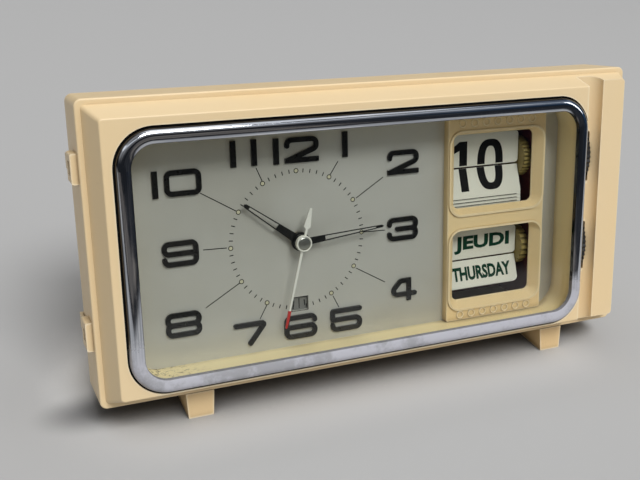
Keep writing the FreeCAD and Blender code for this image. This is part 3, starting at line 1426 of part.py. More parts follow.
def build():
    front_case()
    rear_cover()
    front_foot("front_foot_left", S.foot_left_x)
    front_foot("front_foot_right", S.foot_right_x)
    chrome_bezel()
    glass()
    dial_surround()
    dial_plate()
    hour_numerals()
    calendar_panel()
    calendar_frame()
    calendar_unit("date", S.date_axis_z, S.date_hinge_z, 31)
    calendar_unit("day", S.day_axis_z, S.day_hinge_z, 21)
    calendar_slide()
    dial_screws()
    hands()
    movement_plate("movement_front_plate", S.front_plate_depth, FRONT_PLATE_BACK)
    movement_plate("movement_back_plate", BACK_PLATE_FRONT, BACK_PLATE_BACK)
    movement_pillars()
    motion_work()
    escapement(going_train())
    barrels()
    alarm_work()
    winding_key("time_key", ARBORS["time"])
    winding_key("alarm_key", ARBORS["alarm"])
    set_knob("hand_set_knob", ARBORS["set"])
    set_knob("alarm_set_knob", ARBORS["alarm_set"])
    alarm_stop_button()


def check_and_write():
    """Stops on any failed object, then writes each piece to its own file."""
    doc.recompute()
    for item in doc.Objects:
        if "Invalid" in item.State or "Error" in item.State:
            raise RuntimeError(f"{item.Label} failed: {item.State}")
    for piece in PIECES:
        if piece.Shape.isNull() or not piece.Shape.isValid():
            raise RuntimeError(f"{piece.Label} has no valid shape")
    os.makedirs("parts", exist_ok=True)
    for piece in PIECES:
        piece.Shape.exportStep(f"parts/{piece.Label}.step")
    print(len(PIECES), "pieces, lean", round(LEAN, 2))


build()
check_and_write()
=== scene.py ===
import json
import math
import bpy
import numpy as np
from mathutils import Matrix, Vector


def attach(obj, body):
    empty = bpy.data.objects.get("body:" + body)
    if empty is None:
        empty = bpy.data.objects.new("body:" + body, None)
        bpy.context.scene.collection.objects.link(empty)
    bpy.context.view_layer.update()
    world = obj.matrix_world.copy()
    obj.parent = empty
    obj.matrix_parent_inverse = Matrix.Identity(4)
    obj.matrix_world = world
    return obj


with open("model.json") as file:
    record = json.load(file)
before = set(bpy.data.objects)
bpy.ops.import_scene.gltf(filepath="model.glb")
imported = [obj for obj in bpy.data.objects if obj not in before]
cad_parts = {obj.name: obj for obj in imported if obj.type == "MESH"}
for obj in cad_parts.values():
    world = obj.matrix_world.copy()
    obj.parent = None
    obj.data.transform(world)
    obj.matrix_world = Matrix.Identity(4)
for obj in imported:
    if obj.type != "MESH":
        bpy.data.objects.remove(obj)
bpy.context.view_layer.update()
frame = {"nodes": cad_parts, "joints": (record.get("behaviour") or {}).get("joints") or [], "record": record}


def joint_row(name):
    """A joint's entry in the frame."""
    return next(j for j in frame["joints"] if j["name"] == name)


# The clock leans back: pieces are drawn upright in the case's own frame (X right, Y back,
# Z up, in millimetres from the middle of the front face) and then turned and lifted.
MM_PER_M = 1000.0
DIAL = np.array([-37.4, 24.0, -3.2])
minutes = joint_row("minutes_spin")
LEAN = math.atan2(-minutes["axis"][2], minutes["axis"][1])
TURN = np.array([[1, 0, 0], [0, math.cos(LEAN), math.sin(LEAN)], [0, -math.sin(LEAN), math.cos(LEAN)]])
SHIFT = np.array(minutes["pos_m"]) - TURN @ DIAL / MM_PER_M


def case_place(name):
    """Where a joint lies, in the case's own frame."""
    return (np.array(joint_row(name)["pos_m"]) - SHIFT) @ TURN * MM_PER_M


# Depths of the faces that carry print, in the case's frame. The flap hangs a little in front of
# its hinge line, and the leaf of the next date or day stands a little behind it.
CARD_THICK = 0.25
DATE_HINGE = case_place("date_flap_fall")
DAY_HINGE = case_place("day_flap_fall")
FLAP_FACE = DATE_HINGE[1] - 0.35
FLAP_BACK = FLAP_FACE + CARD_THICK
NEXT_FACE = FLAP_BACK + 0.3
DIAL_FACE = 16.5
ALARM_DISC_FACE = 17.5
PANEL_FACE = 12.7

# How far the print stands off its face: the date on the cards, and most of the rest
INK = 0.02
THICK_INK = 0.03

# The front card below the hinge line leans forward and lies a little behind that line
CARD_LEAN_DEG = 17.0
CARD_FACE = 0.5

HOUR_CIRCLE = 29.5
BEZEL_MIDDLE = np.array([-8.9, -1.5])
BEZEL_HALF = np.array([105.2, 51.9])
BEZEL_CORNER = 15.0


def to_row(points):
    """Case millimetres to row metres, for points (n, 3)."""
    return np.asarray(points, float) @ TURN.T / MM_PER_M + SHIFT


# Materials


class Nodes:
    """A short way to add and join shader nodes."""

    def __init__(self, tree):
        self.tree = tree

    def add(self, kind, **sockets):
        """A node with inputs set by name, with _ for a space, or by number, as in i0 and i1."""
        node = self.tree.nodes.new(kind)
        for name, value in sockets.items():
            key = int(name[1:]) if name[0] == "i" and name[1:].isdigit() else name.replace("_", " ")
            self.put(node, key, value)
        return node

    def put(self, node, key, value):
        """Join an input to another node's output, or set it to a plain value."""
        if isinstance(value, bpy.types.NodeSocket):
            self.tree.links.new(value, node.inputs[key])
        else:
            node.inputs[key].default_value = value

    def noise(self, vector, scale, detail=4.0, rough=0.55):
        node = self.add("ShaderNodeTexNoise", Vector=vector, Scale=scale, Detail=detail, Roughness=rough)
        return node.outputs["Fac"]

    def ramp(self, fac, low, high):
        """Smooth step of a value between two limits, from 0 to 1."""
        node = self.add("ShaderNodeMapRange", Value=fac)
        node.interpolation_type = "SMOOTHSTEP"
        node.inputs["From Min"].default_value = low
        node.inputs["From Max"].default_value = high
        return node.outputs["Result"]

    def math(self, kind, a, b=0.0, c=0.0):
        node = self.tree.nodes.new("ShaderNodeMath")
        node.operation = kind
        for index, value in enumerate((a, b, c)):
            self.put(node, index, value)
        return node.outputs[0]

    def mix(self, fac, a, b):
        node = self.tree.nodes.new("ShaderNodeMix")
        node.data_type = "RGBA"
        self.put(node, 0, fac)
        self.put(node, 6, a)
        self.put(node, 7, b)
        return node.outputs[2]

    def group(self, tree, vector):
        node = self.tree.nodes.new("ShaderNodeGroup")
        node.node_tree = tree
        self.put(node, 0, vector)
        return node.outputs

    def without(self, value):
        """One less the value."""
        return self.math("SUBTRACT", 1.0, value)

    def times(self, a, b):
        return self.math("MULTIPLY", a, b)

    def bump(self, height, strength, distance):
        node = self.add("ShaderNodeBump", Height=height, Strength=strength, Distance=distance)
        return node.outputs["Normal"]


def colour(red, green, blue):
    """Display colour 0 to 255 to linear RGBA."""
    def linear(value):
        value /= 255.0
        return value / 12.92 if value <= 0.04045 else ((value + 0.055) / 1.055) ** 2.4
    return (linear(red), linear(green), linear(blue), 1.0)


# How far painted shade reaches out of a corner and wear reaches in from an edge, in metres
CORNER_SHADE_REACH = 0.006
WEAR_REACH = 0.0011
WORN_CREAM = colour(250, 240, 215)
SPECK_BROWN = colour(96, 74, 40)


def new_material(name):
    """A Principled material with its nodes, shader, output and Object coordinates."""
    mat = bpy.data.materials.new(name)
    mat.use_nodes = True
    nodes = Nodes(mat.node_tree)
    for node in list(mat.node_tree.nodes):
        mat.node_tree.nodes.remove(node)
    out = nodes.add("ShaderNodeOutputMaterial")
    shader = nodes.add("ShaderNodeBsdfPrincipled")
    mat.node_tree.links.new(shader.outputs[0], out.inputs[0])
    place = nodes.add("ShaderNodeTexCoord").outputs["Object"]
    return mat, nodes, shader, out, place


def new_group(name, outputs):
    """An empty node group with a Vector input and named value outputs."""
    tree = bpy.data.node_groups.new(name, "ShaderNodeTree")
    tree.interface.new_socket("Vector", in_out="INPUT", socket_type="NodeSocketVector")
    for output in outputs:
        tree.interface.new_socket(output, in_out="OUTPUT", socket_type="NodeSocketFloat")
    n = Nodes(tree)
    return tree, n, n.add("NodeGroupInput").outputs[0], n.add("NodeGroupOutput")


def surface_marks():
    """Node group of marks that all surfaces share: soft patches, grain, specks, smears, stains."""
    tree, n, place, end = new_group("surface_marks", ("Patch", "Grain", "Speck", "Smear", "Stain"))
    n.put(end, 0, n.noise(place, 14.0, 5.0))
    n.put(end, 1, n.noise(place, 900.0, 3.0))
    n.put(end, 2, n.ramp(n.noise(place, 340.0, 5.0, 0.7), 0.66, 0.74))
    n.put(end, 3, n.noise(place, 45.0, 5.0, 0.65))
    n.put(end, 4, n.ramp(n.noise(place, 110.0, 6.0, 0.75), 0.62, 0.80))
    return tree


MARKS = surface_marks()


def plastic(name, base, rough, patch, grain, dirt_and_shade, dark=None, worn_edge=0.0, dirty_end=None):
    """Moulded plastic: soft patches, fine grain, painted corner shade, specks and stains, pale worn edges.

    dirty_end gives a place to the right and a height, in metres: specks lie thick left of the
    one and below the other.
    """
    mat, n, shader, _, place = new_material(name)
    dark = dark or tuple(c * 0.55 for c in base[:3]) + (1.0,)
    marks = n.group(MARKS, place)
    warm = tuple(c * k for c, k in zip(base[:3], (1.03, 0.97, 0.86))) + (1.0,)
    tone = n.mix(n.times(n.ramp(marks["Patch"], 0.35, 0.7), patch * 4), base, warm)
    # Painted shade in corners and recesses found by ambient occlusion, set by the same amount as the dirt
    corner = n.add("ShaderNodeAmbientOcclusion", Distance=CORNER_SHADE_REACH).outputs["AO"]
    hollow = n.without(n.ramp(corner, 0.35, 0.85))
    painted_corner_shade = n.times(hollow, n.math("ADD", 0.25 + dirt_and_shade, n.times(marks["Patch"], 0.35)))
    tone = n.mix(n.math("ADD", painted_corner_shade, n.times(marks["Speck"], dirt_and_shade)), tone, dark)
    tone = n.mix(n.times(marks["Stain"], dirt_and_shade), tone, dark)
    if worn_edge:
        ridge = n.add("ShaderNodeAmbientOcclusion", Distance=WEAR_REACH)
        ridge.inside = True
        ridge = n.without(n.ramp(ridge.outputs["AO"], 0.45, 0.95))
        ridge = n.times(ridge, n.times(marks["Smear"], worn_edge))
        tone = n.mix(ridge, tone, WORN_CREAM)
    if dirty_end:
        end_x, end_z = dirty_end
        fade_x, fade_z = 0.03, 0.002
        part = n.add("ShaderNodeSeparateXYZ", Vector=place).outputs
        left = n.without(n.ramp(part["X"], end_x, end_x + fade_x))
        low = n.without(n.ramp(part["Z"], end_z - fade_z, end_z))
        thick = n.ramp(n.noise(place, 520.0, 5.0, 0.75), 0.54, 0.62)
        tone = n.mix(n.times(n.times(left, low), thick), tone, SPECK_BROWN)
    n.put(shader, "Base Color", tone)
    n.put(shader, "Roughness", n.math("ADD", rough - 0.08, n.times(marks["Smear"], 0.2)))
    surface = n.math("ADD", marks["Grain"], n.times(n.noise(place, 120.0, 3.0), 0.6))
    n.put(shader, "Normal", n.bump(surface, grain * 3, 0.0002))
    return mat


def metal(name, base, rough):
    """Bare metal with a fine grain and dull spots."""
    mat, n, shader, _, place = new_material(name)
    marks = n.group(MARKS, place)
    grain = n.noise(place, 600.0, 4.0, 0.6)
    dull = tuple(c * 0.5 for c in base[:3]) + (1.0,)
    spots = n.math("ADD", n.times(marks["Stain"], 0.7), n.times(marks["Smear"], 0.4))
    n.put(shader, "Base Color", n.mix(n.times(spots, 0.3), base, dull))
    n.put(shader, "Metallic", 1.0)
    n.put(shader, "Roughness", n.math("ADD", rough, n.times(grain, 0.2)))
    n.put(shader, "Normal", n.bump(grain, 0.15, 0.0001))
    return mat


def ring_depth():
    """Node group: how far in from the chrome ring's outer outline a point lies, in millimetres.

    A rounded rectangle's distance: the point is folded into one corner, the straight sides are
    taken off, and what is left is the length to the corner's own middle, less its radius.
    """
    tree, n, place, end = new_group("ring_depth", ("Depth",))
    # Back to the upright case: shift, then turn by the lean, then millimetres
    away = n.add("ShaderNodeVectorMath", i0=place, i1=tuple(-v for v in SHIFT.tolist())).outputs[0]
    part = n.add("ShaderNodeSeparateXYZ", Vector=away).outputs
    across = n.times(part["X"], MM_PER_M)
    up = n.math("ADD", n.times(part["Y"], MM_PER_M * math.sin(LEAN)),
                n.times(part["Z"], MM_PER_M * math.cos(LEAN)))
    middle_x, middle_z = BEZEL_MIDDLE.tolist()
    straight_x, straight_z = (BEZEL_HALF - BEZEL_CORNER).tolist()
    fold_x = n.math("SUBTRACT", n.math("ABSOLUTE", n.math("SUBTRACT", across, middle_x)), straight_x)
    fold_z = n.math("SUBTRACT", n.math("ABSOLUTE", n.math("SUBTRACT", up, middle_z)), straight_z)
    corner = n.math("SQRT", n.math("ADD", n.math("POWER", n.math("MAXIMUM", fold_x, 0.0), 2.0),
                                   n.math("POWER", n.math("MAXIMUM", fold_z, 0.0), 2.0)))
    side = n.math("MINIMUM", n.math("MAXIMUM", fold_x, fold_z), 0.0)
    n.put(end, 0, n.math("SUBTRACT", BEZEL_CORNER, n.math("ADD", corner, side)))
    return tree


def chrome():
    """Worn chrome: clear reflections above, hazy wear towards the foot of the ring, fine scratches."""
    mat, n, shader, _, place = new_material("chrome_worn")
    # The wear ends between these heights, in metres, once noise has made its end ragged
    worn_up_to, clear_from = 0.042, 0.056
    # Where the dirt and painted-shade lines end and start, in mm in from the ring's outer outline
    outer_dirt_and_shade, inner_dirt_and_shade = (0.45, 0.95), (5.45, 5.65)
    bright, streaked = colour(236, 238, 242), colour(186, 190, 198)
    hazy, hazy_dark, dirt_and_gap_shade = colour(186, 186, 194), colour(160, 160, 165), colour(30, 26, 22)
    depth = n.group(ring_depth(), place)[0]
    blotch = n.ramp(n.noise(place, 60.0, 6.0, 0.72), 0.45, 0.62)
    part = n.add("ShaderNodeSeparateXYZ", Vector=place).outputs
    ragged = n.math("ADD", part["Z"], n.times(n.noise(place, 45.0, 5.0, 0.7), 0.02))
    low = n.without(n.ramp(ragged, worn_up_to, clear_from))
    worn = n.math("MAXIMUM", n.times(blotch, 0.10), low)
    # Streaks run along the ring: the noise is stretched along it and tight across it
    along = n.add("ShaderNodeCombineXYZ", X=depth, Y=n.times(part["X"], 12.0), Z=n.times(part["Z"], 12.0))
    streak = n.noise(along.outputs[0], 1.6, 3.0, 0.6)
    tint = n.mix(n.ramp(streak, 0.45, 0.62), streaked, bright)
    tint = n.mix(low, tint, n.mix(blotch, hazy, hazy_dark))
    # Lines of dirt and painted gap shade along both edges of the ring, weaker where it is worn
    outer = n.times(n.without(n.ramp(depth, *outer_dirt_and_shade)), n.without(n.times(low, 0.85)))
    inner = n.times(n.ramp(depth, *inner_dirt_and_shade), n.without(n.times(low, 0.35)))
    edge = n.math("MAXIMUM", outer, inner)
    n.put(shader, "Base Color", n.mix(n.times(edge, 0.93), tint, dirt_and_gap_shade))
    n.put(shader, "Metallic", n.without(n.times(low, 0.92)))
    fine = n.noise(place, 420.0, 4.0, 0.6)
    n.put(shader, "Roughness", n.math("ADD", 0.04, n.math("ADD", n.times(worn, 0.42), n.times(fine, 0.05))))
    n.put(shader, "Normal", n.bump(n.noise(place, 90.0, 3.0), 0.05, 0.0002))
    return mat


def pane():
    """Clear pane: light passes through it and it mirrors the room at its edge-on angles."""
    mat, n, shader, out, place = new_material("pane_clear")
    n.put(shader, "Base Color", (0.9, 0.9, 0.9, 1.0))
    n.put(shader, "Roughness", n.times(n.noise(place, 60.0, 4.0), 0.06))
    n.put(shader, "Metallic", 1.0)
    clear = n.add("ShaderNodeBsdfTransparent", Color=(0.97, 0.98, 0.97, 1.0))
    rim = n.add("ShaderNodeFresnel", IOR=1.42).outputs[0]
    dust = n.times(n.ramp(n.noise(place, 260.0, 6.0, 0.75), 0.62, 0.8), 0.04)
    share = n.math("ADD", n.times(rim, 0.55), dust)
    blend = n.tree.nodes.new("ShaderNodeMixShader")
    n.put(blend, 0, share)
    n.tree.links.new(clear.outputs[0], blend.inputs[1])
    n.tree.links.new(shader.outputs[0], blend.inputs[2])
    n.tree.links.new(blend.outputs[0], out.inputs[0])
    return mat


def painted(name, base, rough, mottle, shine=0.5):
    """Painted or printed surface with a faint mottle."""
    mat, n, shader, _, place = new_material(name)
    marks = n.group(MARKS, place)
    other = tuple(min(1.0, c * (1.0 - mottle)) for c in base[:3]) + (1.0,)
    n.put(shader, "Base Color", n.mix(marks["Smear"], base, other))
    n.put(shader, "Specular IOR Level", shine)
    n.put(shader, "Roughness", n.math("ADD", rough - 0.1, n.times(marks["Grain"], 0.2)))
    n.put(shader, "Normal", n.bump(marks["Grain"], 0.08, 0.0001))
    return mat


def dial_paint():
    """Silvery grey dial paint with a fine sparkle and faint stains."""
    mat, n, shader, _, place = new_material("dial_silver")
    marks = n.group(MARKS, place)
    sparkle = n.noise(place, 1600.0, 2.0)
    tone = n.mix(n.ramp(marks["Patch"], 0.35, 0.7), colour(204, 203, 196), colour(193, 191, 182))
    n.put(shader, "Base Color", n.mix(n.times(marks["Stain"], 0.14), tone, colour(120, 108, 84)))
    n.put(shader, "Metallic", 0.35)
    n.put(shader, "Roughness", n.math("ADD", 0.38, n.times(sparkle, 0.25)))
    n.put(shader, "Normal", n.bump(sparkle, 0.12, 0.0001))
    return mat


def floor_paint():
    """Plain grey, with painted shadow close under the object; in mirrors the room beyond the table is dark.

    The photo's floor is even right up to the object, but for a soft shade at its left front
    corner. So painted light lifts the grey beside the walls, and painted shadow darkens that corner.
    """
    mat, n, shader, _, place = new_material("floor_grey")
    # Reach of the painted contact shadow; left front corner and half axes of the painted oval, in metres
    contact_reach = 0.034
    corner_x, corner_y = -0.124, -0.027
    oval_x, oval_y = 0.030, 0.017
    contact, lifted, corner_shade = colour(92, 92, 94), colour(230, 230, 230), colour(70, 70, 72)
    table_end, room_far, room_right = colour(16, 17, 22), colour(104, 99, 94), colour(14, 18, 26)
    # Painted contact shadow: darker where ambient occlusion finds the object close by
    close = n.add("ShaderNodeAmbientOcclusion", Distance=contact_reach).outputs["AO"]
    tone = n.mix(n.ramp(close, 0.0, 0.5), contact, FLOOR_GREY)
    part = n.add("ShaderNodeSeparateXYZ", Vector=place).outputs
    depth = part["Y"]
    # Painted light beside the walls: a quarter in front, wholly further back, not at the right end
    beside = n.times(n.ramp(close, 0.25, 0.5), n.without(n.ramp(close, 0.6, 1.0)))
    beside = n.times(beside, n.math("ADD", 0.25, n.times(n.ramp(depth, -0.03, 0.01), 0.75)))
    beside = n.times(beside, n.without(n.ramp(part["X"], 0.09, 0.12)))
    tone = n.mix(beside, tone, lifted)
    # An oval of painted shadow round the left front corner
    off = n.add("ShaderNodeVectorMath", i0=place, i1=(-corner_x, -corner_y, 0.0)).outputs[0]
    squeezed = n.add("ShaderNodeMapping", Vector=off, Scale=(1 / oval_x, 1 / oval_y, 1.0)).outputs[0]
    radius = n.tree.nodes.new("ShaderNodeVectorMath")
    radius.operation = "LENGTH"
    n.put(radius, 0, squeezed)
    shade = n.without(n.ramp(radius.outputs["Value"], 0.1, 1.0))
    tone = n.mix(n.times(shade, 0.75), tone, corner_shade)
    # What the bezel mirrors: dark beyond the table, then a grey-brown room, navy at the right
    mirrored = n.add("ShaderNodeLightPath").outputs["Is Glossy Ray"]
    beyond = n.times(n.without(n.ramp(depth, -0.42, -0.30)), mirrored)
    far = n.without(n.ramp(depth, -0.62, -0.48))
    room = n.mix(far, table_end, room_far)
    room = n.mix(n.ramp(part["X"], 0.24, 0.32), room, room_right)
    n.put(shader, "Base Color", n.mix(beyond, tone, room))
    n.put(shader, "Roughness", 0.9)
    n.put(shader, "Specular IOR Level", 0.1)
    return mat


CREAM = colour(230, 206, 164)
# Dark tone of the tray plastics' dirt specks and stains, and of their painted corner shade
TRAY_DIRT_AND_SHADE = colour(126, 98, 52)
FLOOR_GREY = colour(177, 177, 177)
MATS = {
    "case_plastic": plastic("case_cream", CREAM, rough=0.40, patch=0.10, grain=0.05, dirt_and_shade=0.06,
                            dark=colour(120, 92, 56), worn_edge=0.9),
    "cover_plastic": plastic("cover_cream", colour(226, 206, 170), rough=0.5, patch=0.12, grain=0.10,
                             dirt_and_shade=0.05, dark=colour(118, 92, 58)),
    # Painted shade: a darker copy of the case plastic for the feet under the case, with more dirt
    "shaded_foot_plastic": plastic("shaded_foot_cream", colour(222, 194, 148), rough=0.5, patch=0.12, grain=0.06, dirt_and_shade=0.3,
                            dark=colour(110, 82, 46), worn_edge=0.9),
    "chrome": chrome(),
    "clear": pane(),
    "tray_cream": plastic("tray_cream", colour(240, 214, 165), rough=0.45, patch=0.12, grain=0.05, dirt_and_shade=0.10,
                          dark=TRAY_DIRT_AND_SHADE, worn_edge=0.7),
    # Painted light: a paler copy of the tray plastic, so the dial surround looks more brightly lit
    "lit_surround_cream": plastic("lit_surround_cream", colour(254, 237, 190), rough=0.45, patch=0.12, grain=0.05,
                              dirt_and_shade=0.10, dark=TRAY_DIRT_AND_SHADE, worn_edge=0.7, dirty_end=(-0.105, 0.0245)),
    "dial_grey": dial_paint(),
    "black_plastic": painted("black_moulded", colour(22, 22, 22), rough=0.3, mottle=0.3),
    "card": painted("card_white", colour(232, 231, 218), rough=0.65, mottle=0.06),
    "brass": metal("brass_plain", colour(205, 172, 98), rough=0.3),
    "steel": metal("steel_plain", colour(178, 178, 176), rough=0.3),
    "black_paint": painted("hand_black", colour(22, 22, 22), rough=0.35, mottle=0.3),
    "white_paint": painted("enamel_white", colour(236, 235, 226), rough=0.35, mottle=0.05),
    "drum_plastic": plastic("drum_yellow", colour(152, 135, 78), rough=0.42, patch=0.1, grain=0.05,
                            dirt_and_shade=0.1),
    "frame_red": painted("frame_burgundy", colour(86, 26, 30), rough=0.45, mottle=0.25),
    "ink": painted("ink_black", colour(12, 12, 13), rough=0.6, mottle=0.2, shine=0.15),
    "ink_green": painted("ink_green", colour(6, 60, 42), rough=0.6, mottle=0.2, shine=0.15),
    "lume": painted("lume_cream", colour(212, 208, 178), rough=0.6, mottle=0.1),
    "cap_grey": metal("cap_grey", colour(176, 176, 168), rough=0.22),
    "band_grey": painted("band_grey", colour(128, 128, 124), rough=0.55, mottle=0.2),
    "red_paint": painted("enamel_red", colour(196, 34, 26), rough=0.35, mottle=0.1),
}

slots = {part["node"]: part["material_slot"] for part in frame["record"]["subparts"]}
slots.update(front_foot_left="shaded_foot_plastic", front_foot_right="shaded_foot_plastic", dial_surround="lit_surround_cream")
for name, node in frame["nodes"].items():
    node.data.materials.clear()
    node.data.materials.append(MATS[slots[name]])


# New pieces


def mesh_piece(name, points, faces, mat, body, smooth=False):
    """An object from case-frame points and faces that rides on one body."""
    mesh = bpy.data.meshes.new(name)
    points = to_row(points)
    faces = np.asarray(faces, np.int32)
    mesh.vertices.add(len(points))
    mesh.vertices.foreach_set("co", points.astype(np.float32).ravel())
    sides = faces.shape[1]
    mesh.loops.add(faces.size)
    mesh.loops.foreach_set("vertex_index", faces.ravel())
    mesh.polygons.add(len(faces))
    mesh.polygons.foreach_set("loop_start", np.arange(0, faces.size, sides, dtype=np.int32))
    mesh.polygons.foreach_set("loop_total", np.full(len(faces), sides, np.int32))
    mesh.update(calc_edges=True)
    mesh.validate()
    mesh.polygons.foreach_set("use_smooth", np.full(len(mesh.polygons), smooth))
    mesh.materials.append(MATS[mat])
    obj = bpy.data.objects.new(name, mesh)
    bpy.context.scene.collection.objects.link(obj)
    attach(obj, body)


def slabs(outlines, front, back):
    """Closed slabs between two depths, one for each outline (m, k, 2) of X and Z.

    Each outline is a run of quads given as two rails of equal length: row 0 to k/2 is one
    rail, the rest is the other rail walked back. Returns points and quad faces.
    """
    outlines = np.asarray(outlines, float)
    count, size, _ = outlines.shape
    half = size // 2
    flat = outlines.reshape(-1, 2)
    fronts = np.column_stack([flat[:, 0], np.full(len(flat), front), flat[:, 1]])
    backs = np.column_stack([flat[:, 0], np.full(len(flat), back), flat[:, 1]])
    points = np.vstack([fronts, backs])
    total = count * size
    i = np.arange(half - 1)
    cap = np.column_stack([i, i + 1, size - 2 - i, size - 1 - i])
    j = np.arange(size)
    wall = np.column_stack([j, j + total, (j + 1) % size + total, (j + 1) % size])
    start = (np.arange(count) * size)[:, None, None]
    faces = np.concatenate([(cap[None] + start).reshape(-1, 4),
                            (cap[None, :, ::-1] + start + total).reshape(-1, 4),
                            (wall[None] + start).reshape(-1, 4)])
    return points, faces


def bar_outline(x, z, angle, length, width):
    """Corners of straight bars about their middles; angle runs from the Z axis towards X."""
    x, z, angle, length, width = np.broadcast_arrays(x, z, angle, length, width)
    along = np.stack([np.sin(angle), np.cos(angle)], -1)
    across = np.stack([np.cos(angle), -np.sin(angle)], -1)
    middle = np.stack([x, z], -1)
    half_l = (length / 2)[..., None]
    half_w = (width / 2)[..., None]
    corners = [middle - across * half_w - along * half_l, middle - across * half_w + along * half_l,
               middle + across * half_w + along * half_l, middle + across * half_w - along * half_l]
    return np.stack(corners, axis=-2).reshape(-1, 4, 2)


def box_outline(left, right, low, high):
    """A rectangle as two rails, its left side and its right side."""
    return np.array([[left, low], [left, high], [right, high], [right, low]])


def ring_outline(x, z, outer, inner, steps):
    """Rings as two rails: the outer circle walked on, then the inner one walked back."""
    x, z = np.atleast_1d(x), np.atleast_1d(z)
    turn = np.linspace(0, 2 * np.pi, steps + 1)
    circle = np.column_stack([np.cos(turn), np.sin(turn)])
    rails = np.vstack([circle * outer, circle[::-1] * inner])
    return rails[None] + np.column_stack([x, z])[:, None, :]


def disc_outline(x, z, radius, steps=24):
    """Discs as two half circles, as rails."""
    x, z = np.atleast_1d(x), np.atleast_1d(z)
    turn = np.linspace(0, np.pi, steps // 2 + 1)
    right = np.column_stack([np.sin(turn), np.cos(turn)]) * radius
    left = right[::-1] * np.array([-1.0, 1.0])
    return np.vstack([right, left])[None] + np.column_stack([x, z])[:, None, :]


def joined(*parts):
    """Several (points, faces) pairs as one."""
    points, faces, start = [], [], 0
    for p, f in parts:
        points.append(p)
        faces.append(f + start)
        start += len(p)
    return np.vstack(points), np.vstack(faces)


def round_dial(angle, radius):
    """X and Z round the dial: its middle plus the radius times the angle's sine and cosine."""
    return DIAL[0] + radius * np.sin(angle), DIAL[2] + radius * np.cos(angle)


def dial_print():
    """Hour rings and their filling, minute ticks, leader lines and the alarm window's outline."""
    tick_length, tick_width, leader_width = 1.7, 0.4, 0.38
    ring_radius, ring_hole, dot_radius = 1.08, 0.74, 0.75
    # Half sizes of the window's outline, outside and inside its line, and how far it lies below the middle
    window_outer, window_inner, window_drop = np.array([3.9, 3.2]), np.array([3.6, 3.0]), 28.2
    minute = np.arange(60)
    a = minute[minute % 5 != 0] * np.pi / 30
    ticks = bar_outline(*round_dial(a, HOUR_CIRCLE), a, tick_length, tick_width)
    # Each hour's leader line: X and Z by its ring, then by its numeral
    leaders = np.array([
        [-22.2, 23.1, -18.4, 28.7],  # one
        [-10.3, 12.0, 2.6, 19.9],  # two
        [-7.7, -3.3, 3.4, -3.7],  # three
        [-10.7, -19.1, 3.3, -27.4],  # four
        [-21.9, -30.2, -19.2, -35.7],  # five
        [-52.3, -29.7, -55.6, -35.5],  # seven
        [-63.7, -18.4, -78.7, -27.0],  # eight
        [-68.5, -2.8, -78.5, -2.4],  # nine
        [-63.9, 12.1, -78.4, 21.0],  # ten
        [-52.3, 23.4, -54.7, 29.0],  # eleven
    ])
    start, end = leaders[:, :2], leaders[:, 2:]
    middle_x, middle_z = ((start + end) / 2).T
    run_x, run_z = (end - start).T
    lines = bar_outline(middle_x, middle_z, np.arctan2(run_x, run_z), np.hypot(run_x, run_z), leader_width)
    # No ring at six, where the alarm window is
    hour = np.delete(np.arange(12), 6) * np.pi / 6
    hour_x, hour_z = round_dial(hour, HOUR_CIRCLE)
    rings = ring_outline(hour_x, hour_z, ring_radius, ring_hole, 20)
    square = np.array([[-1, -1], [1, -1], [1, 1], [-1, 1], [-1, -1]])
    window = np.vstack([square * window_outer, (square * window_inner)[::-1]])[None]
    window = window + np.array(round_dial(np.pi, window_drop))
    face, back = DIAL_FACE - THICK_INK, DIAL_FACE
    parts = [slabs(o, face, back) for o in (ticks, lines, rings, window)]
    mesh_piece("dial_print", *joined(*parts), "ink", "case")
    mesh_piece("hour_dots", *slabs(disc_outline(hour_x, hour_z, dot_radius), face, back), "lume", "case")


def alarm_disc_print():
    """A grey band on the alarm disc with a mark for each ten minutes, longer at the hours."""
    band_outer, band_inner, band_thick = 31.2, 24.8, 0.015
    marks_radius, mark_width, long_mark, short_mark = 28.2, 0.42, 4.6, 2.6
    marks_an_hour = 6
    number = np.arange(12 * marks_an_hour)
    a = np.pi + number * (np.pi / 6) / marks_an_hour
    length = np.where(number % marks_an_hour == 0, long_mark, short_mark)
    marks = bar_outline(*round_dial(a, marks_radius), a, length, mark_width)
    band = ring_outline(DIAL[0], DIAL[2], band_outer, band_inner, 96)
    back = ALARM_DISC_FACE
    mesh_piece("alarm_disc_band", *slabs(band, back - band_thick, back), "band_grey", "alarm_disc")
    mesh_piece("alarm_disc_print", *slabs(marks, back - THICK_INK, back), "ink", "alarm_disc")


def turned_from_twelve(points, angle_deg):
    """Points of a hand drawn at twelve, turned clockwise about the dial's middle."""
    turn = math.radians(angle_deg)
    x, z = points[..., 0], points[..., 1]
    return np.stack([x * math.cos(turn) + z * math.sin(turn) + DIAL[0],
                     -x * math.sin(turn) + z * math.cos(turn) + DIAL[2]], -1)


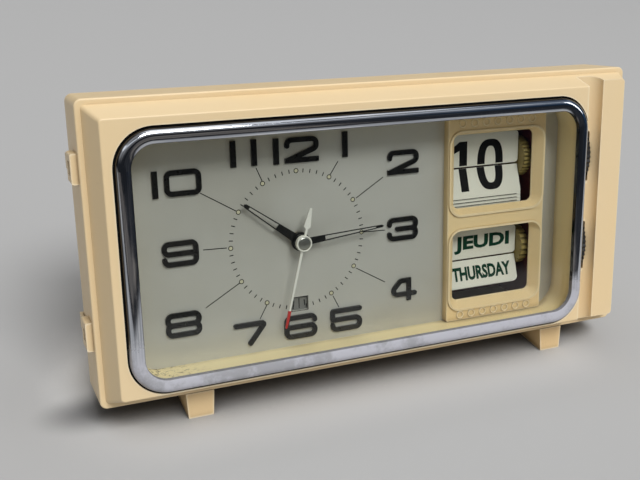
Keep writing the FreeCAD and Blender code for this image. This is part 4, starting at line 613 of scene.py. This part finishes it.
def hands():
    """Red end of the second hand and the bright ring and cap on its boss.

    The ring and the cap are turned shapes: the way out from the middle gives a radius and a
    depth on one profile, and the radius is carried round the hand's middle.
    """
    rest_deg, red_front, red_back = 194.0, 9.7, 10.4
    red = np.array([[-0.66, 29.3], [-0.42, 36.3], [-0.3, 37.0], [0.3, 37.0], [0.42, 36.3], [0.66, 29.3]])
    red = turned_from_twelve(red, rest_deg)[None]
    mesh_piece("second_hand_red", *slabs(red, red_front, red_back), "red_paint", "seconds_arbor")
    # The profile from the middle outwards: a domed cap, a groove and a raised ring
    around, across, cap_end = 64, 15, 0.6
    turn, out = grid(full_turn(around), np.linspace(0, 1, across))
    stops = [0, 0.1, 0.55, 0.62, 0.72, 0.84, 0.94, 1.0]
    radius = np.interp(out, stops, [0.02, 1.2, 2.6, 2.75, 2.85, 3.2, 3.42, 3.44])
    front = np.interp(out, stops, [8.6, 8.62, 8.9, 9.15, 8.85, 8.8, 9.0, 9.5])
    points = np.stack([DIAL[0] + radius * np.cos(turn), front, DIAL[2] + radius * np.sin(turn)], -1)
    points = points.reshape(-1, 3)
    faces = grid_faces(around, across)
    inner = out[:, :-1].ravel() < cap_end
    mesh_piece("second_hand_cap", points, faces[inner], "cap_grey", "seconds_arbor", True)
    mesh_piece("second_hand_ring", points, faces[~inner], "white_paint", "seconds_arbor", True)


def grid(first, second):
    """Two parameters as whole arrays over a grid."""
    return np.meshgrid(first, second, indexing="ij")


def full_turn(steps):
    """Angles once round, without the last, which would be the first again."""
    return np.linspace(0, 2 * np.pi, steps + 1)[:-1]


def grid_faces(around, across):
    """Quads of a sheet that closes on itself in its first direction."""
    i, j = grid(np.arange(around), np.arange(across - 1))
    k = (i + 1) % around
    corners = [i * across + j, k * across + j, k * across + j + 1, i * across + j + 1]
    return np.stack(corners, -1).reshape(-1, 4)


def bezel_gap():
    """A sheet of painted shadow in the gap round the bezel, from just inside its outline to a little past it.
    """
    past, inside = 0.8, 0.5
    front, back = 0.85, 1.15
    outer = rounded_rect(*(BEZEL_HALF + past), BEZEL_CORNER + past)
    inner = rounded_rect(*(BEZEL_HALF - inside), BEZEL_CORNER - inside)
    shape = np.vstack([outer, inner[::-1]])[None] + BEZEL_MIDDLE
    mesh_piece("bezel_gap_shadow_sheet", *slabs(shape, front, back), "ink", "case")


def rounded_rect(half_width, half_height, corner):
    """Closed outline of a rectangle with round corners, from the middle of its top.

    Each corner is a quarter turn about a point that lies the corner's radius in from two sides.
    """
    steps = 12
    quarter = np.linspace(0, np.pi / 2, steps + 1)
    w, h = half_width - corner, half_height - corner
    parts = [np.array([[0.0, h + corner]])]
    for sx, sz, start in ((1, 1, 0.0), (1, -1, np.pi / 2), (-1, -1, np.pi), (-1, 1, 1.5 * np.pi)):
        a = start + quarter
        parts.append(np.column_stack([sx * w + corner * np.sin(a), sz * h + corner * np.cos(a)]))
    parts.append(np.array([[0.0, h + corner]]))
    return np.vstack(parts)


def zero_half(top, x, width, height, stroke, stroke_top):
    """One half of a bold zero: two rails from its left foot over to its right foot.

    A rail is a squarish ellipse: half the width times the angle's sine and half the height times
    its cosine, both raised to a power under one.
    """
    power, steps = 0.72, 41
    a = np.linspace(-np.pi / 2, np.pi / 2, steps)

    def rail(w, h):
        c, s = np.cos(a), np.sin(a)
        return np.column_stack([x + w * np.sign(s) * np.abs(s) ** power, h * np.abs(c) ** power])
    outer = rail(width / 2, height / 2)
    inner = rail(width / 2 - stroke, height / 2 - stroke_top)
    shape = np.vstack([outer, inner[::-1]])
    return shape if top else shape * np.array([1.0, -1.0])


def date_digits():
    """The number ten in bold, its upper half on the flap and its lower half on the card below."""
    hinge = DATE_HINGE[2]
    half_height = 11.5
    left, right = 44.6, 48.7
    flag_tip, flag_low, flag_high, flag_root = 39.9, 5.4, 8.2, 7.4
    zero = {"x": 61.0, "width": 13.8, "height": 23.4, "stroke": 4.0, "stroke_top": 3.2}
    second_digit = 16.5
    # Where the print stops on either side of the hinge line
    above, below = 0.35, 0.95
    zero_top = np.maximum(zero_half(True, **zero), [-np.inf, above])
    zero_low = np.minimum(zero_half(False, **zero), [np.inf, -below])
    stem_top = box_outline(left, right, above, half_height)
    stem_low = box_outline(left, right, -half_height, -below)
    stem_turned = box_outline(left, right, below, half_height)
    flag = np.array([[flag_tip, flag_low], [flag_tip, flag_high], [left, half_height], [left, flag_root]])
    upper = [slabs(o[None] + np.array([0.0, hinge]), FLAP_FACE - INK, FLAP_FACE)
             for o in (stem_top, flag, zero_top)]
    mesh_piece("date_digits_upper", *joined(*upper), "ink", "date_flap")
    points, faces = joined(*[slabs(o[None], CARD_FACE - INK, CARD_FACE) for o in (stem_low, zero_low)])
    mesh_piece("date_digits_lower", leaned(points, hinge), faces, "ink", "case")
    # The next date, eleven: on the leaf behind the flap, and on the flap's back for when it has fallen
    for name, shapes, front, body in (("date_next_upper", (stem_top, flag), NEXT_FACE - INK, "case"),
                                      ("date_next_lower", (stem_turned,), FLAP_BACK, "date_flap")):
        both = [slabs(o[None] + np.array([x, hinge]), front, front + INK)
                for o in shapes for x in (0.0, second_digit)]
        mesh_piece(name, *joined(*both), "ink", body)


def leaf_gap_shadows():
    """Lines of painted shadow along the feet of the leaves that stand under the front one."""
    leaves, first_foot = 4, -15.2
    # How much lower each leaf reaches than the one before it, and how much further back it lies
    drop, step_back = 1.5, 0.4
    middle_x, line_length, line_width, line_up = 56.5, 34.5, 0.3, 0.28
    parts = []
    for number in range(leaves):
        foot = first_foot - drop * number
        face = CARD_FACE + step_back * number
        line = bar_outline([middle_x], [foot + line_up], np.pi / 2, line_length, line_width)
        parts.append(slabs(line, face - THICK_INK, face))
    points, faces = joined(*parts)
    mesh_piece("date_leaf_gap_shadows", leaned(points, DATE_HINGE[2]), faces, "ink", "case")


def leaned(points, hinge):
    """Points given from a hinge line, turned forward below it, into the case's frame."""
    turn = math.radians(-CARD_LEAN_DEG)
    x, y, z = points.T
    return np.column_stack([x, DATE_HINGE[1] + y * math.cos(turn) - z * math.sin(turn),
                            hinge + y * math.sin(turn) + z * math.cos(turn)])


def word(name, text, body, middle, size, place):
    """A word as a filled shape on a card, stretched to a width and a height about its middle.

    place turns points of the upright word into the case's frame.
    """
    curve = bpy.data.curves.new(name, "FONT")
    curve.body = text
    curve.size = 1.0
    # Thickens the strokes
    curve.offset = 0.045
    curve.align_x = "CENTER"
    curve.resolution_u = 3
    temp = bpy.data.objects.new(name + "_shape", curve)
    bpy.context.scene.collection.objects.link(temp)
    bpy.context.view_layer.update()
    mesh = bpy.data.meshes.new_from_object(temp.evaluated_get(bpy.context.evaluated_depsgraph_get()))
    bpy.data.objects.remove(temp)
    co = np.empty(len(mesh.vertices) * 3)
    mesh.vertices.foreach_get("co", co)
    co = co.reshape(-1, 3)
    flat = co[:, :2]
    low, high = flat.min(0), flat.max(0)
    x, z = ((flat - (low + high) / 2) * size / (high - low) + middle).T
    points = to_row(place(np.column_stack([x, np.zeros(len(x)), z])))
    mesh.vertices.foreach_set("co", points.ravel())
    mesh.materials.clear()
    mesh.materials.append(MATS["ink_green"])
    mesh.update()
    obj = bpy.data.objects.new(name, mesh)
    bpy.context.scene.collection.objects.link(obj)
    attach(obj, body)


def day_words():
    """The weekday in two languages, and the next one on the leaf behind and the flap's back.

    The print on the flap's back is drawn upside down, because the flap turns it over as it falls.
    """
    hinge = DAY_HINGE[2]
    word("day_word_upper", "JEUDI", "day_flap", middle=(57.6, 6.6), size=(30.0, 8.4),
         place=lambda p: p + np.array([0.0, FLAP_FACE - THICK_INK, hinge]))
    word("day_word_lower", "THURSDAY", "case", middle=(57.0, -7.2), size=(32.0, 6.6),
         place=lambda p: leaned(p + np.array([0.0, CARD_FACE - 2 * INK, 0.0]), hinge))
    word("day_next_upper", "VENDREDI", "case", middle=(57.4, 6.6), size=(33.0, 7.4),
         place=lambda p: p + np.array([0.0, NEXT_FACE - THICK_INK, hinge]))
    word("day_next_lower", "FRIDAY", "day_flap", middle=(57.2, -7.0), size=(26.0, 6.6),
         place=lambda p: p * np.array([1.0, 1.0, -1.0]) + np.array([0.0, FLAP_BACK + THICK_INK, hinge]))


def panel_rings():
    """Two rows of small raised rings on the calendar panel.

    Each is the front half of a flattened torus: the ring's radius plus the half width times the
    tube angle's cosine, raised off the panel by the height times its sine.
    """
    first_x, pitch, count = 39.7, 6.03, 7
    low_z, top_z = -47.2, 40.8
    radius, half_width, height = 1.6, 0.38, 0.5
    around, across = 32, 7
    turn, tube = grid(full_turn(around), np.linspace(0, np.pi, across))
    out = radius + half_width * np.cos(tube)
    ring = np.stack([out * np.cos(turn), PANEL_FACE - height * np.sin(tube), out * np.sin(turn)], -1)
    ring = ring.reshape(-1, 3)
    quads = grid_faces(around, across)[:, ::-1]
    for name, z in (("panel_rings_low", low_z), ("panel_rings_top", top_z)):
        parts = [(ring + np.array([first_x + pitch * number, 0.0, z]), quads) for number in range(count)]
        mesh_piece(name, *joined(*parts), "tray_cream", "case", True)


def smooth_by_angle():
    """Soft shading on curved CAD faces, with crisp edges."""
    crisp_from_deg = 28
    for node in frame["nodes"].values():
        node.data.polygons.foreach_set("use_smooth", np.ones(len(node.data.polygons), bool))
        node.data.set_sharp_from_angle(angle=math.radians(crisp_from_deg))


dial_print()
alarm_disc_print()
hands()
date_digits()
leaf_gap_shadows()
day_words()
bezel_gap()
panel_rings()
smooth_by_angle()


# Floor, light and camera


def add_floor():
    """A wide floor at height 0, in metres."""
    reach = 9.0
    corners = [(-reach, -reach, 0.0), (reach, -reach, 0.0), (reach, reach, 0.0), (-reach, reach, 0.0)]
    mesh = bpy.data.meshes.new("floor")
    mesh.from_pydata(corners, [], [(0, 1, 2, 3)])
    mesh.materials.append(floor_paint())
    floor = bpy.data.objects.new("floor", mesh)
    bpy.context.scene.collection.objects.link(floor)


def lamp(name, place, aim, size, power):
    """A rectangular lamp at a place, turned to a point."""
    light = bpy.data.lights.new(name, "AREA")
    light.shape = "RECTANGLE"
    light.size, light.size_y = size
    light.energy = power
    obj = bpy.data.objects.new(name, light)
    bpy.context.scene.collection.objects.link(obj)
    obj.location = place
    obj.rotation_euler = (Vector(aim) - Vector(place)).to_track_quat("-Z", "Y").to_euler()


def sun(name, place, strength, spread_deg):
    """A wide soft light from far off, so that the floor is lit evenly."""
    light = bpy.data.lights.new(name, "SUN")
    light.energy = strength
    light.angle = math.radians(spread_deg)
    obj = bpy.data.objects.new(name, light)
    bpy.context.scene.collection.objects.link(obj)
    obj.rotation_euler = (-Vector(place)).to_track_quat("-Z", "Y").to_euler()


def add_world():
    """A soft grey sky; mirrors see a dark room with a bright stripe, and blue to the right."""
    world = bpy.data.worlds.new("studio")
    bpy.context.scene.world = world
    world.use_nodes = True
    dark_room, grey_above = (0.02, 0.022, 0.026, 1.0), (0.26, 0.26, 0.265, 1.0)
    bright_stripe, blue_side = (0.9, 0.93, 0.97, 1.0), (0.02, 0.075, 0.16, 1.0)
    sky_low, sky_high = (0.20, 0.20, 0.20, 1.0), (0.46, 0.46, 0.46, 1.0)
    strength = 0.85
    back = world.node_tree.nodes["Background"]
    n = Nodes(world.node_tree)
    ray = n.add("ShaderNodeLightPath").outputs["Is Glossy Ray"]
    way = n.add("ShaderNodeSeparateXYZ", Vector=n.add("ShaderNodeTexCoord").outputs["Generated"]).outputs
    height = way["Z"]
    blue = n.times(n.ramp(way["X"], 0.35, 0.75), n.ramp(height, -0.1, 0.2))
    room = n.mix(n.ramp(height, 0.15, 0.5), dark_room, grey_above)
    stripe = n.times(n.ramp(height, 0.52, 0.58), n.without(n.ramp(height, 0.66, 0.72)))
    room = n.mix(stripe, room, bright_stripe)
    room = n.mix(n.times(blue, 0.75), room, blue_side)
    sky = n.mix(n.ramp(height, -0.1, 0.9), sky_low, sky_high)
    n.put(back, "Color", n.mix(ray, sky, room))
    n.put(back, "Strength", strength)


def add_camera():
    """The photograph's camera, worked out in the case's frame and leaned with it."""
    eye = np.array([[-169.907, -328.644, 92.744]])
    # To the right, down and sideways, in radians
    yaw, pitch, roll = 0.391579, 0.254606, -0.0231597
    focal_px, picture_px = 908.46, 640
    forward = np.array([math.sin(yaw) * math.cos(pitch), math.cos(yaw) * math.cos(pitch), -math.sin(pitch)])
    level = np.array([math.cos(yaw), -math.sin(yaw), 0.0])
    upward = np.cross(level, forward)
    right = math.cos(roll) * level + math.sin(roll) * upward
    up = -math.sin(roll) * level + math.cos(roll) * upward
    axes = TURN @ np.column_stack([right, up, -forward])
    cam = bpy.data.cameras.new("camera")
    cam.sensor_width = 36.0
    cam.lens = focal_px / picture_px * cam.sensor_width
    cam.clip_start = 0.01
    obj = bpy.data.objects.new("camera", cam)
    bpy.context.scene.collection.objects.link(obj)
    matrix = Matrix(axes.tolist()).to_4x4()
    matrix.translation = Vector(to_row(eye)[0].tolist())
    obj.matrix_world = matrix
    bpy.context.scene.camera = obj


add_floor()
add_world()
sun("key", place=(0.12, -0.85, 1.15), strength=2.25, spread_deg=26.0)
lamp("top", place=(0.1, 0.1, 1.6), aim=(0, 0, 0.05), size=(1.8, 0.8), power=3.9)
lamp("side", place=(1.3, -0.9, 0.7), aim=(0, 0, 0.06), size=(0.4, 0.7), power=2.0)
add_camera()
bpy.context.scene.view_settings.view_transform = "Standard"
